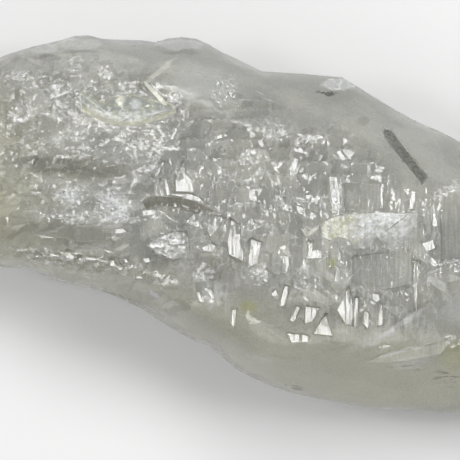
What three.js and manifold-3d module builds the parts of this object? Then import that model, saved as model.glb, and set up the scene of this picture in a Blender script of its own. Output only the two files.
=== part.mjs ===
// A rough quartz crystal lying on one of its long prism faces, in millimetres, +Z up.
// The growth axis runs along X, with the broken root at -X and the worn point at +X. The body is a
// swept six-sided prism whose faces are roughened point by point. Shells and chips are struck out
// of it, growth facets on a few shared lattice slopes are set into its upper face, and a slot is
// left where a plate of another mineral once stood.
import * as THREE from "three";
import { ConvexGeometry } from "three/addons/geometries/ConvexGeometry.js";
import { mergeVertices } from "three/addons/utils/BufferGeometryUtils.js";
import Module from "manifold-3d";

const wasm = await Module();
wasm.setup();

// ---- Driving dimensions ------------------------------------------------------------------------

// The widest outline seen from above: the back edge and the front edge, from root to point.
const BACK_EDGE = [
  [-64.3, 16.2], [-62, 21.8], [-58.9, 25.7], [-55.4, 28.6], [-50.9, 30.6], [-47.8, 31.7],
  [-45.6, 31.9], [-44.5, 32.8], [-40.6, 33.1], [-39.5, 34], [-36.4, 34.5], [-33.8, 34.3],
  [-32.5, 33.7], [-25.3, 33.5], [-22.4, 33.1], [-21.7, 33.8], [-17.9, 34.1], [-14.8, 33.7],
  [-11.1, 31.4], [-7.3, 29.7], [-4, 27.9], [3.1, 27.5], [11.1, 26.8], [14.5, 24.6],
  [21.5, 20.3], [27.1, 17.5], [28.5, 17.2], [31.9, 15.3], [39.1, 11.2], [47.2, 7],
  [54.4, 3], [59.8, -0.5], [64.3, -4],
];
const FRONT_EDGE = [
  [-64.3, 3.6], [-62, -1.3], [-58.9, -4.5], [-55.4, -6.7], [-50.9, -7.8], [-45.8, -7.7],
  [-42.6, -9.7], [-37.7, -11], [-32.3, -12.1], [-25.3, -15.3], [-22.8, -17.1], [-17.6, -20.2],
  [-14.8, -21.8], [-13.8, -21.5], [-10, -24.8], [-7.6, -26.8], [-0.3, -30], [5.8, -31.5],
  [13.9, -33.1], [23.3, -33.7], [31.9, -34.3], [39.1, -34.4], [44.5, -33.6], [50.9, -31],
  [57.1, -26.5], [61.6, -22], [64.3, -18],
];
// The two long edges of the upper prism face, seen from above.
const BACK_CREST = [
  [-64.3, 13.5], [-58.9, 19.8], [-50.9, 23.4], [-40, 26.1], [-29.2, 26.5], [-18.4, 25.2],
  [-9.4, 21.6], [-2.2, 18], [8.5, 15.3], [17.6, 13.5], [26.6, 8.1], [35.5, 1.8],
  [46.4, -3.5], [57.1, -7], [64.3, -8.5],
];
const FRONT_CREST = [
  [-64.3, 6.3], [-58.9, 1.8], [-50.9, -2.7], [-40, -5.4], [-28.2, -7], [-22.9, -10.8],
  [-16.6, -16.2], [-9.4, -20.3], [-0.4, -22.5], [10.3, -22.5], [21.1, -21.6], [31.9, -20.3],
  [42.8, -18], [53.5, -14.9], [64.3, -12.1],
];
// Heights along the crystal: its ridge, its two widest edges and its underside.
const RIDGE_HEIGHT = [
  [-64.3, 25], [-58.9, 30], [-50.9, 33.5], [-40, 35.5], [-27.5, 36], [-14.9, 37.5], [-4, 38.5],
  [8.5, 38.5], [21.1, 37], [31.9, 35], [42.8, 33], [53.5, 31], [64.3, 28],
];
const BACK_EDGE_HEIGHT = [[-64.3, 19], [-50, 18], [0, 18], [30, 17], [64.3, 18]];
const FRONT_EDGE_HEIGHT = [[-64.3, 17], [-50, 14], [0, 13], [30, 13], [64.3, 17]];
const UNDERSIDE_HEIGHT = [
  [-64.3, 12], [-58.9, 6.5], [-50, 1.5], [-44, 0], [44, 0], [53, 3.5], [60, 9.5], [64.3, 14],
];
const CREST_DROP = { back: 2, front: 4 }; // how far each crest lies below the ridge
const FOOT_INSET = { back: 9, front: 8, fullAt: 40 }; // how far the lower faces run in, and the
// width of the crystal above which they run in by that much
const FLAT_CUT = 0.4; // depth of the flat that it rests on

// How far each face of the prism bulges at its middle.
const BULGE = { backSlope: 1.1, top: 2.6, frontSlope: 0.9, frontUnder: 0.6, backUnder: 0.8 };

// Gentle waves in the worn faces. Each has its height and its length along X, Y and Z.
const WAVES = [
  { height: 0.29, along: [6.1, 9.3], across: [5.3, 7.7], start: 1.3 },
  { height: 0.16, along: [2.7, 3.9], across: [2.9, 3.1], start: 0.7 },
];

// Where the upper faces are rough: middle and half sizes of each patch seen from above, and the
// height that its points stray from the even face. Ridged patches stray a whole ring at a time.
const ROUGH = [
  { at: [-42, 22], reach: [24, 12], height: 0.62 },
  { at: [-30, 8], reach: [36, 5], height: 0.35 },
  { at: [-12, 3], reach: [16, 13], height: 0.7 },
  { at: [14, -6], reach: [19, 17], height: 0.6, ridged: 0.7 },
  { at: [22, 6], reach: [30, 9], height: 0.26 },
  { at: [-62, 10], reach: [9, 16], height: 0.8 },
];
const ROUGH_RIM = { from: 0.75, to: 1.15 }; // where a patch fades, as a share of its half size
const WORN_HEIGHT = 0.14; // the same height away from every patch
const UNDER = { height: 0.34, ridged: 0.3 }; // the same on the lower faces
const STATION_COUNT = 54; // rings from root to point
const JITTER = { along: 0.3, across: 0.15 }; // how far a ring point strays towards its neighbours

// The lattice allows only a few directions for a growth facet, so the facets lie parallel and
// flash together. Each is a rise per millimetre along X and along Y.
const SLOPES = {
  level: [0.04, 0.03],
  toBack: [0.02, -0.32],
  toPoint: [-0.31, -0.1],
  toRoot: [0.34, -0.06],
  toFront: [0.03, 0.36],
  leaning: [-0.16, 0.02],
};

// The worn faces of the point: the angle between each one's normal and the growth axis, each
// one's direction round the axis in degrees, and a place that it passes.
const POINT_FACE_TILT = THREE.MathUtils.degToRad(51.8);
const POINT_FACES = [
  { round: 84, through: [56, -12, 27] },
  { round: 30, through: [55, 1, 24] },
  { round: 152, through: [58, -21, 22] },
  { round: 212, through: [57, -24, 12] },
  { round: 270, through: [57, -12, 6] },
  { round: 332, through: [58, -3, 12] },
];

// Shells struck out of the upper faces: middle, size, depth and turn of each, seen from above.
const SHELLS = [
  { at: [-26.9, 22.3], size: [19.5, 6.6], depth: 1.5, turn: -0.06 },
  { at: [-36.4, 10.8], size: [21, 5], depth: 1.5, turn: -0.07 },
  { at: [-46, 13], size: [12, 6], depth: 1, turn: 0.3 },
  { at: [-43, 0.8], size: [30, 8.2], depth: 1.8, turn: -0.05 },
  { at: [-19.5, 3.6], size: [13.5, 4.2], depth: 1.4, turn: -0.16 },
  { at: [-15.8, -10.8], size: [8.5, 6.4], depth: 1.2, turn: -0.5 },
  { at: [-24.5, -8.5], size: [10, 5], depth: 0.9, turn: -0.5 },
  { at: [-4, 22], size: [17, 9], depth: 1.1, turn: -0.5 },
  { at: [13, 22], size: [15, 6.4], depth: 1, turn: -0.35 },
];

// Shells that end the crystal where it broke from its root, with the way that each one faces.
const ROOT_SHELLS = [
  { at: [-64, 12, 26], facing: [-1, 0.2, 0.5], size: [22, 18], depth: 3 },
  { at: [-63, 2, 16], facing: [-1, -0.7, -0.1], size: [18, 18], depth: 2.6 },
  { at: [-62, 20, 14], facing: [-1, 0.6, -0.5], size: [20, 16], depth: 2.8 },
  { at: [-57, 3, 28], facing: [-0.6, -0.3, 1], size: [16, 12], depth: 1.5 },
];

// Shells strewn over the two lower faces. Each face's stretch is a part of the way round a ring.
const UNDER_SHELLS = {
  count: 7, along: [-54, 50], faces: [[0.7, 0.74], [0.93, 0.97]],
  length: [8, 16], breadth: [5, 9], depth: [0.8, 1.6], turn: 0.5,
};

// The large growth facets of the upper face, seen from above. Rise is the height of the facet's
// middle over the even face.
const FACETS = [
  { face: "toBack", rise: 0.4, outline: [
    [-13.2, 1.7], [-10.6, 1.3], [-12, -1.1], [-12.9, -2], [-13.4, -1.1]
  ] },
  { face: "toBack", rise: 0.5, outline: [
    [-9.3, 1], [-7.7, 0], [-7.6, -3.4], [-7.1, -5.2], [-7.3, -6.3], [-9.6, -5.2]
  ] },
  { face: "toBack", rise: 0.6, outline: [
    [-5.8, -2.4], [-3.9, -3.1], [-4.6, -5.9], [-4.8, -6.8], [-6, -7.4], [-6.1, -5.4]
  ] },
  { face: "toBack", rise: 0.5, outline: [[-15.8, 2], [-14.2, -0.7], [-17.4, 0.4]] },
  { face: "toBack", rise: -0.4, outline: [
    [-17.9, 11.3], [-16.3, 7.2], [-19.2, 5.9], [-19.2, 7.4], [-18.6, 9.4]
  ] },
  { face: "toBack", rise: 0.3, outline: [[-17.4, 5.9], [-15.4, 5.2], [-12.1, 2.2], [-14.1, 2.5]] },
  { face: "toBack", rise: 0.3, outline: [
    [-23.8, -3.6], [-21.5, -2], [-17.2, -1.3], [-16.8, -5.4], [-20.2, -5.9]
  ] },
  { face: "toPoint", rise: 0.4, outline: [[8.2, 8.5], [9.4, 8.5], [10.2, 4.5], [9.8, 1.6], [8.5, 2]] },
  { face: "toPoint", rise: 0.4, outline: [[22.8, 5.9], [23.5, 5.8], [23.3, 2.5], [22.4, 2.7]] },
  { face: "toPoint", rise: 0.5, outline: [[26, 2.3], [26.7, 4.1], [27.4, -0.2], [26.6, -3.1]] },
  { face: "leaning", rise: -0.3, outline: [[27.6, 6], [33, 6.4], [35, -5.5], [28, -6.3]] },
  { face: "toBack", rise: 0.4, outline: [[24.6, -3.2], [26.6, -2.7], [26.9, -4.1], [25.5, -4.7]] },
  { face: "toPoint", rise: 0.4, outline: [[23.2, -6.5], [24, -6.5], [23.7, -15.1], [23.3, -13.5]] },
  { face: "toPoint", rise: 0.6, outline: [
    [11.7, -10.9], [12.3, -14], [12, -17.8], [11.1, -17.6], [9.6, -15.1], [10.5, -13.5]
  ] },
  { face: "toBack", rise: 0.5, outline: [[7.5, -15.8], [8.6, -19.6], [5.5, -19.3]] },
  { face: "toBack", rise: -0.3, outline: [[4, -14.4], [6.4, -14.8], [5.1, -17.1], [3.9, -17.5]] },
  { face: "toPoint", rise: 0.4, outline: [[1.3, -16.9], [2.4, -14.4], [3, -14.6], [1.9, -17.1]] },
  { face: "toBack", rise: 0.3, outline: [[0.8, -19.3], [4.2, -19.6], [4.5, -20.7], [1.5, -20.9]] },
  { face: "toPoint", rise: 0.3, outline: [[16.8, -13.5], [17.6, -13.9], [17.6, -17.5], [17, -17.5]] },
  { face: "toPoint", rise: 0.3, outline: [[12.9, -13], [13.3, -13], [13.1, -18], [12.7, -18]] },
  { face: "toBack", rise: 0.5, outline: [
    [-6.6, -16], [-5.8, -15.8], [-3.7, -16.9], [-5.5, -17.8], [-6.6, -17.5]
  ] },
  { face: "toBack", rise: 0.3, outline: [[-12.2, 15.7], [-10.3, 16.3], [-10.2, 15.7], [-12, 15.1]] },
  { face: "toBack", rise: -0.1, outline: [[29.4, -20.3], [31.9, -19.3], [33, -21.6], [31, -22]] },
  { face: "toFront", rise: 0, outline: [
    [14.8, -24.5], [18.4, -23], [24.8, -21.8], [29.8, -20.7], [28.3, -22.9], [21.1, -24.3]
  ] },
  { face: "level", rise: 0.8, outline: [
    [6.4, 0.5], [10, 1.6], [13.9, 2.2], [19.3, 2.1], [23.3, 2], [24, -0.2], [21.5, -1.6],
    [16.1, -2.7], [11.2, -3.2], [6.8, -2.3]
  ] },
];
const FACET_SKIRT = { depth: 2.4, spread: [1, 1.4] }; // the block under a facet
const FACET_CLEAR = { depth: 4, spread: [1.2, 1.2] }; // the space over it

// Fields of chips. Each has its stretch along the axis, its stretch across between the front crest
// (0) and the back crest (1), the range of a chip's width along the axis and length across it, how
// far a chip may turn, and the faces that it shows.
const CHIP_FIELDS = [
  { count: 22, along: [0.5, 30], across: [0, 0.72], width: [1, 3], length: [3.5, 9], turn: 0.12,
    faces: ["level", "toPoint", "toPoint", "toRoot", "toRoot", "toBack"] },
  { count: 15, along: [-25, 2], across: [0.18, 0.95], width: [1.6, 4], length: [1.6, 5], turn: 0.6,
    faces: ["level", "toBack", "toRoot", "toPoint", "toFront"] },
  { count: 17, along: [-60, -16], across: [0.3, 1.15], width: [2, 5.5], length: [1.6, 4], turn: 0.8,
    faces: ["level", "toFront", "toBack", "toRoot", "toPoint"] },
  { count: 5, along: [-4, 34], across: [0.7, 1.1], width: [3, 7], length: [4, 8], turn: 0.5,
    faces: ["level", "level", "toPoint"] },
  { count: 5, along: [30, 50], across: [0.2, 0.8], width: [1.4, 4], length: [4, 9], turn: 0.15,
    faces: ["level", "toPoint", "toRoot"] },
];
const CHIP = {
  corners: 5, uneven: 0.25, // the ring of corners, and how far each strays towards its neighbour
  tilt: 0.04, // how far a face strays from its lattice slope
  dipShare: [0.12, 0.42], bite: [0.05, 0.2], deepest: 0.9, // depth of the middle
  walls: 3, spread: [0.8, 3], // height of the walls, and how far they lean out over it
};

// The slot left by a plate of another mineral, and a finer groove beside its lower end.
const SLOTS = [
  { at: [22.2, 12.3], length: 11, width: 1.7, depth: 2.2, turn: -0.88 },
  { at: [23.7, 8.2], length: 2.6, width: 0.5, depth: 0.9, turn: -0.8 },
];

// ---- Helpers -----------------------------------------------------------------------------------

// Reads a line of [x, value] points at x, straight between its points.
function along(line, x) {
  const next = line.findIndex(([px]) => px > x);
  if (next < 0) {
    return line.at(-1)[1];
  }
  if (next === 0) {
    return line[0][1];
  }
  const [x0, v0] = line[next - 1];
  const [x1, v1] = line[next];
  return THREE.MathUtils.mapLinear(x, x0, x1, v0, v1);
}

const EVENING = [-9, -4.5, 0, 4.5, 9]; // the distances over which kinks are averaged out

// The same with the line's kinks worn away.
function evenedAlong(line, x) {
  return EVENING.reduce((sum, step) => sum + along(line, x + step), 0) / EVENING.length;
}

// A repeatable random number from low to high.
const random = (low, high) => low + (high - low) * THREE.MathUtils.seededRandom();
const pick = (list) => list[Math.floor(random(0, list.length))];

// A closed three.js geometry as a solid for joining and cutting. Corners closer than WELD are one.
const WELD = 1e-4;

function solidOf(geometry) {
  const bare = new THREE.BufferGeometry();
  bare.setAttribute("position", geometry.getAttribute("position"));
  if (geometry.index) {
    bare.setIndex(geometry.index);
  }
  const merged = mergeVertices(bare, WELD);
  return new wasm.Manifold(
    new wasm.Mesh({
      numProp: 3,
      vertProperties: merged.attributes.position.array,
      triVerts: new Uint32Array(merged.index.array),
    }),
  );
}

// ---- The even body: six faces swept along the growth axis ------------------------------------------

function waveHeight(x, y, z) {
  return WAVES.reduce((sum, { height, along: [lx, ly], across: [cy, cz], start }) =>
    sum + height * Math.sin(x / lx + y / ly) * Math.cos(y / cy - z / cz + start), 0);
}

// Points strictly between two corners, pushed out by a bulge at the middle.
function between([y0, z0], [y1, z1], count, bulge) {
  const run = Math.hypot(y1 - y0, z1 - z0);
  const out = [-(z0 - z1) / run, (y0 - y1) / run];
  return Array.from({ length: count }, (_, i) => {
    const share = (i + 1) / (count + 1);
    const push = bulge * Math.sin(Math.PI * share);
    return [y0 + (y1 - y0) * share + out[0] * push, z0 + (z1 - z0) * share + out[1] * push];
  });
}

const TOP_POINTS = 19; // ring points from the back edge over the top to the front edge

// The closed ring of [y, z] points around the crystal at x, from the back edge over the top.
function ringAt(x) {
  const ridge = along(RIDGE_HEIGHT, x);
  const under = along(UNDERSIDE_HEIGHT, x);
  const backY = along(BACK_EDGE, x);
  const frontY = along(FRONT_EDGE, x);
  const inset = Math.min(1, (backY - frontY) / FOOT_INSET.fullAt);
  const back = [backY, along(BACK_EDGE_HEIGHT, x)];
  const front = [frontY, along(FRONT_EDGE_HEIGHT, x)];
  const backCrest = [along(BACK_CREST, x), ridge - CREST_DROP.back];
  const frontCrest = [along(FRONT_CREST, x), ridge - CREST_DROP.front];
  const backFoot = [evenedAlong(BACK_EDGE, x) - FOOT_INSET.back * inset, under];
  const frontFoot = [evenedAlong(FRONT_EDGE, x) + FOOT_INSET.front * inset, under];
  const ring = [
    back, ...between(back, backCrest, 3, BULGE.backSlope),
    backCrest, ...between(backCrest, frontCrest, 9, BULGE.top),
    frontCrest, ...between(frontCrest, front, 3, BULGE.frontSlope),
    front, ...between(front, frontFoot, 2, BULGE.frontUnder),
    frontFoot, ...between(frontFoot, backFoot, 2, 0),
    backFoot, ...between(backFoot, back, 2, BULGE.backUnder),
  ];
  return ring.map(([y, z], i) => [y, i === 0 || i === TOP_POINTS - 1 ? z : z + waveHeight(x, y, z)]);
}

// Height of the even upper face at a place seen from above.
function surfaceHeight(x, y) {
  const top = ringAt(x).slice(0, TOP_POINTS);
  const next = top.findIndex(([py]) => py < y);
  if (next <= 0) {
    return top.at(next)[1];
  }
  const [y0, z0] = top[next - 1];
  const [y1, z1] = top[next];
  return THREE.MathUtils.mapLinear(y, y0, y1, z0, z1);
}

// ---- The rough body: the even one with its points strayed --------------------------------------------

// How rough the upper faces are at a place seen from above, and the share of it that is ridges.
function roughnessAt(x, y) {
  const patches = ROUGH.map(({ at, reach, height, ridged = 0 }) => {
    const away = Math.hypot((x - at[0]) / reach[0], (y - at[1]) / reach[1]);
    const share = 1 - THREE.MathUtils.smoothstep(away, ROUGH_RIM.from, ROUGH_RIM.to);
    return { height: height * share, ridged: ridged * share };
  });
  return {
    height: Math.max(WORN_HEIGHT, ...patches.map((patch) => patch.height)),
    ridged: Math.max(...patches.map((patch) => patch.ridged)),
  };
}

// One ring of [x, y, z] points. The two widest edges stay where they are, and so does the whole
// ring at either end.
function roughRing(x, gap, atEnd) {
  const ring = ringAt(x);
  const ridge = random(-1, 1);
  return ring.map(([y, z], i) => {
    const [y0, z0] = ring.at(i - 1);
    const [y1, z1] = ring[(i + 1) % ring.length];
    const run = Math.hypot(y1 - y0, z1 - z0);
    const slip = random(-JITTER.across, JITTER.across);
    const slide = random(-JITTER.along, JITTER.along) * gap;
    const lift = random(-1, 1);
    if (atEnd || i === 0 || i === TOP_POINTS - 1) {
      return [x, y, z];
    }
    const { height, ridged } = i < TOP_POINTS ? roughnessAt(x, y) : UNDER;
    const out = height * THREE.MathUtils.lerp(lift, ridge, ridged);
    return [
      x + slide,
      y + slip * (y1 - y0) + (out * (z1 - z0)) / run,
      z + slip * (z1 - z0) + (out * (y0 - y1)) / run,
    ];
  });
}

function bodyGeometry() {
  const [start, end] = [BACK_EDGE[0][0], BACK_EDGE.at(-1)[0]];
  const gap = (end - start) / (STATION_COUNT - 1);
  const last = STATION_COUNT - 1;
  const rings = Array.from({ length: STATION_COUNT }, (_, s) =>
    roughRing(start + s * gap, gap, s === 0 || s === last));
  const size = rings[0].length;
  const positions = rings.flat(2);
  const cornersOf = (s, i) => [s * size + i, s * size + ((i + 1) % size)];
  const faces = [];
  for (let s = 0; s < last; s++) {
    for (let i = 0; i < size; i++) {
      const [a, b] = cornersOf(s, i);
      faces.push(a, b, a + size, b, b + size, a + size);
    }
  }
  for (const s of [0, last]) {
    const hub = positions.length / 3;
    positions.push(...[0, 1, 2].map((k) => rings[s].reduce((sum, p) => sum + p[k], 0) / size));
    for (let i = 0; i < size; i++) {
      const [a, b] = cornersOf(s, i);
      faces.push(hub, ...(s === 0 ? [b, a] : [a, b]));
    }
  }
  const geometry = new THREE.BufferGeometry();
  geometry.setAttribute("position", new THREE.Float32BufferAttribute(positions, 3));
  return geometry.setIndex(faces);
}

// ---- Shapes that are joined to the body or cut from it -----------------------------------------------

const PROBE = 1.5; // distance to either side over which the surface's slope is measured

// A place on the upper surface, seen from above, with +Z as its outward direction and the rise per
// millimetre of the surface there along X and Y.
function onTop(x, y) {
  const rise = (dx, dy) =>
    (surfaceHeight(x + dx, y + dy) - surfaceHeight(x - dx, y - dy)) / (2 * PROBE);
  return {
    point: new THREE.Vector3(x, y, surfaceHeight(x, y)),
    out: new THREE.Vector3(0, 0, 1),
    slope: [rise(PROBE, 0), rise(0, PROBE)],
  };
}

// A place on the ring at x. The part of the way round runs from 0 to 1, from the back edge over
// the top, down the front and back underneath.
function onRing(x, part) {
  const ring = ringAt(x);
  const i = Math.floor(part * ring.length);
  const share = part * ring.length - i;
  const [y0, z0] = ring[i];
  const [y1, z1] = ring[(i + 1) % ring.length];
  return {
    point: new THREE.Vector3(x, y0 + (y1 - y0) * share, z0 + (z1 - z0) * share),
    out: new THREE.Vector3(0, z1 - z0, y0 - y1).normalize(),
  };
}

// Moves a shape made at the origin, with +Z outward, to a place on the crystal. Its +X keeps along
// the growth axis, and rise lifts it out of the surface.
function placed(shape, { point, out }, rise = 0, turn = 0) {
  const side = new THREE.Vector3().crossVectors(out, new THREE.Vector3(1, 0, 0)).normalize();
  const length = new THREE.Vector3().crossVectors(side, out);
  const basis = new THREE.Matrix4().makeBasis(length, side, out);
  const spot = point.clone().addScaledVector(out, rise);
  shape.rotateZ(turn).applyMatrix4(basis).translate(spot.x, spot.y, spot.z);
  return solidOf(shape);
}

// A block under a sloping facet. The outline is a convex one round the facet's middle, and slope
// is its rise per millimetre along X and Y. The sides run outward by spread on the way down, with
// one spread towards -X and one towards +X. Turned over, it is the cutter that leaves the same
// facet as the floor of a recess.
function facetBlock(outline, [slopeX, slopeY], depth, [spreadBack, spreadOn], turnedOver = false) {
  const away = turnedOver ? 1 : -1;
  const spreadY = (spreadBack + spreadOn) / 2;
  const facet = outline.map(([x, y]) => new THREE.Vector3(x, y, slopeX * x + slopeY * y));
  const base = facet.map((p) => new THREE.Vector3(
    p.x + (p.x < 0 ? -spreadBack : spreadOn), p.y + Math.sign(p.y) * spreadY, p.z + away * depth));
  return new ConvexGeometry([...facet, ...base]);
}

// The ball that strikes out a shell. SHELL_CAP is the height of the struck cap as a share of the
// ball's radius there, and the ball is widened so that the cap has the shell's size.
const SHELL_CAP = 0.4;
const SHELL_WIDENING = 1 / Math.sqrt(1 - (1 - SHELL_CAP) ** 2);

function shellBall([length, breadth], depth) {
  const ball = new THREE.IcosahedronGeometry(1, 2);
  const radius = depth / SHELL_CAP;
  ball.scale((length / 2) * SHELL_WIDENING, (breadth / 2) * SHELL_WIDENING, radius);
  return ball.translate(0, 0, radius - depth);
}

// The block that a plane cuts away, with the plane through a point and facing the normal.
function beyondPlane(point, normal) {
  const size = 160;
  const block = new THREE.BoxGeometry(size, size, size).translate(0, 0, size / 2);
  const turn = new THREE.Quaternion().setFromUnitVectors(
    new THREE.Vector3(0, 0, 1), new THREE.Vector3(...normal).normalize());
  return solidOf(block.applyQuaternion(turn).translate(...point));
}

// ---- Cutters and facets ------------------------------------------------------------------------------

const shells = () => SHELLS.map(({ at, size, depth, turn }) =>
  placed(shellBall(size, depth), onTop(...at), 0, turn));

const rootShells = () => ROOT_SHELLS.map(({ at, facing, size, depth }) => placed(
  shellBall(size, depth),
  { point: new THREE.Vector3(...at), out: new THREE.Vector3(...facing).normalize() }));

function underShells() {
  const { count, along: stretch, faces, length, breadth, depth, turn } = UNDER_SHELLS;
  return Array.from({ length: count }, (_, i) => {
    const ball = shellBall([random(...length), random(...breadth)], random(...depth));
    const place = onRing(random(...stretch), random(...faces[i % faces.length]));
    return placed(ball, place, 0, random(-turn, turn));
  });
}

// A chip's outline: an uneven ring of corners.
function chipOutline(width, length, turn) {
  return Array.from({ length: CHIP.corners }, (_, i) => {
    const angle = ((i + random(-CHIP.uneven, CHIP.uneven)) / CHIP.corners) * 2 * Math.PI;
    const x = (Math.cos(angle) * width) / 2;
    const y = (Math.sin(angle) * length) / 2;
    return [x * Math.cos(turn) - y * Math.sin(turn), x * Math.sin(turn) + y * Math.cos(turn)];
  });
}

// The cutter of one chip: a facet that feathers out of the surface at one side and ends under a
// riser at the other.
function chip(place, { width, length, turn, faces }) {
  const size = [random(...width), random(...length)];
  const outline = chipOutline(...size, random(-turn, turn));
  const slope = SLOPES[pick(faces)].map((rise) => rise + random(-CHIP.tilt, CHIP.tilt));
  const dip = Math.hypot(...slope.map((rise, k) => (rise - place.slope[k]) * size[k]));
  const depth = Math.min(CHIP.deepest, dip * random(...CHIP.dipShare) + random(...CHIP.bite));
  const spread = [random(...CHIP.spread), random(...CHIP.spread)];
  return placed(facetBlock(outline, slope, CHIP.walls, spread, true), place, -depth);
}

function chips() {
  return CHIP_FIELDS.flatMap((field) =>
    Array.from({ length: field.count }, () => {
      const x = random(...field.along);
      const across = random(...field.across);
      const y = THREE.MathUtils.lerp(along(FRONT_CREST, x), along(BACK_CREST, x), across);
      return chip(onTop(x, y), field);
    }));
}

// A large facet is a block set into the surface, with the space over it cleared.
function largeFacets() {
  return FACETS.map(({ face, rise, outline }) => {
    const middle = [0, 1].map((k) => outline.reduce((sum, p) => sum + p[k], 0) / outline.length);
    const round = outline.map((p) => [p[0] - middle[0], p[1] - middle[1]]);
    const place = onTop(...middle);
    const block = facetBlock(round, SLOPES[face], FACET_SKIRT.depth, FACET_SKIRT.spread);
    const space = facetBlock(round, SLOPES[face], FACET_CLEAR.depth, FACET_CLEAR.spread, true);
    return { block: placed(block, place, rise), space: placed(space, place, rise) };
  });
}

const slots = () => SLOTS.map(({ at, length, width, depth, turn }) =>
  placed(new THREE.BoxGeometry(length, width, depth * 2), onTop(...at), 0, turn));

function pointFaces() {
  const across = Math.sin(POINT_FACE_TILT);
  return POINT_FACES.map(({ round, through }) => {
    const angle = THREE.MathUtils.degToRad(round);
    return beyondPlane(through, [
      Math.cos(POINT_FACE_TILT), across * Math.cos(angle), across * Math.sin(angle)]);
  });
}

// ---- The crystal --------------------------------------------------------------------------------------

function crystalSolid() {
  const cutAll = (solid, cutters) => cutters.reduce((left, cutter) => left.subtract(cutter), solid);
  const struck = [...shells(), ...underShells(), ...rootShells(), ...chips()];
  const faceted = largeFacets().reduce(
    (solid, { block, space }) => solid.add(block).subtract(space),
    cutAll(solidOf(bodyGeometry()), struck));
  const ended = cutAll(faceted, [...slots(), ...pointFaces()]);
  const flat = ended.subtract(beyondPlane([0, 0, FLAT_CUT], [0, 0, -1]));
  // Crumbs that a cut left loose are dropped.
  return flat.decompose().sort((a, b) => b.volume() - a.volume())[0];
}

const { vertProperties, triVerts } = crystalSolid().getMesh();
const geometry = new THREE.BufferGeometry();
geometry.setAttribute("position", new THREE.BufferAttribute(vertProperties, 3));
geometry.setIndex(new THREE.BufferAttribute(triVerts, 1));

const quartz = new THREE.MeshStandardMaterial({ color: 0xb9bbae, roughness: 0.15, metalness: 0 });
const crystal = new THREE.Mesh(geometry, quartz);
crystal.name = "quartz_crystal";

// The origin is under the middle of the crystal, on the flat that it rests on.
geometry.computeBoundingBox();
const box = geometry.boundingBox;
const middle = box.getCenter(new THREE.Vector3());
crystal.position.set(-middle.x, -middle.y, -box.min.z);

const group = new THREE.Group();
group.add(crystal);
export default group;
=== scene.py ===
import math
from functools import reduce

import bmesh
import bpy
import numpy as np
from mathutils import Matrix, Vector, geometry
from mathutils.bvhtree import BVHTree


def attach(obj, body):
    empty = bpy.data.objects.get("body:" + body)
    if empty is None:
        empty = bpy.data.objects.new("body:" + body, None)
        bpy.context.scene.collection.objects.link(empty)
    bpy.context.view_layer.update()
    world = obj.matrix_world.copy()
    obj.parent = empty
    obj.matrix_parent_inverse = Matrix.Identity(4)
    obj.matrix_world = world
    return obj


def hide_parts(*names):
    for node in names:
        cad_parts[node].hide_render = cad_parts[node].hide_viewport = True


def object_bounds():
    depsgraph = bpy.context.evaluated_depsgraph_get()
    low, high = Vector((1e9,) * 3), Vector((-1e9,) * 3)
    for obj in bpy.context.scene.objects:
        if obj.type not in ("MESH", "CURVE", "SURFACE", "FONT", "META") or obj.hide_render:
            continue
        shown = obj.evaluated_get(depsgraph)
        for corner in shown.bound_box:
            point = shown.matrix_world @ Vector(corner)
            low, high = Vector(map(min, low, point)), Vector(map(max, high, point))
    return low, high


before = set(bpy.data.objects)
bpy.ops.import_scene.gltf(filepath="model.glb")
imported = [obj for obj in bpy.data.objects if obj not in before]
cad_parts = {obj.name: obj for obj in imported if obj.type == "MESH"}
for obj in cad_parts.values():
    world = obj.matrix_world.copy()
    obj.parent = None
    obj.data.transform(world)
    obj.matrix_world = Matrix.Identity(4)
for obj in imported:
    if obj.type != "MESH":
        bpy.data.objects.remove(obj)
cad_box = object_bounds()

# ---- Camera ------------------------------------------------------------------
# A long lens straight above the crystal, close enough that both of its ends run out of the view.
MM = 0.001
VIEW_MIDDLE = (-9.45 * MM, -0.9 * MM, 24 * MM)
VIEW_WIDTH = 82.8 * MM
CAMERA_DISTANCE = 0.9
SEEN_FROM, SEEN_TO = 0.01, 20

camera = bpy.data.objects.new("camera", bpy.data.cameras.new("camera"))
bpy.context.scene.collection.objects.link(camera)
camera.location = Vector(VIEW_MIDDLE) + Vector((0, 0, CAMERA_DISTANCE))
camera.data.lens = camera.data.sensor_width * CAMERA_DISTANCE / VIEW_WIDTH
camera.data.clip_start, camera.data.clip_end = SEEN_FROM, SEEN_TO
bpy.context.scene.camera = camera

# ---- Studio ------------------------------------------------------------------
# A pale table in a bright even room, with three small bright softboxes. Each hangs where one set
# of the crystal's parallel growth faces mirrors it upwards. A dim wide one lights the front.
bpy.context.scene.view_settings.view_transform = "Standard"
TABLE_DROP = 0.05 * MM
TABLE_HALF_WIDTH = 4.0
TABLE_COLOUR = (0.6, 0.6, 0.6, 1)
TABLE_ROUGHNESS = 0.8
SOFTBOXES = [  # direction from the crystal, distance, width, and brightness of its face
    {"name": "back_softbox", "towards": (-0.04, 0.587, 0.81), "away": 0.7, "width": 0.27, "glow": 12},
    {"name": "side_softbox", "towards": (0.56, 0.18, 0.81), "away": 0.7, "width": 0.22, "glow": 12},
    {"name": "root_softbox", "towards": (-0.62, 0.1, 0.78), "away": 0.7, "width": 0.16, "glow": 12},
    {"name": "front_fill", "towards": (0.1, -0.75, 0.65), "away": 0.9, "width": 0.6, "glow": 1.8},
]
ROOM_GLOW = 0.56

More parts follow.
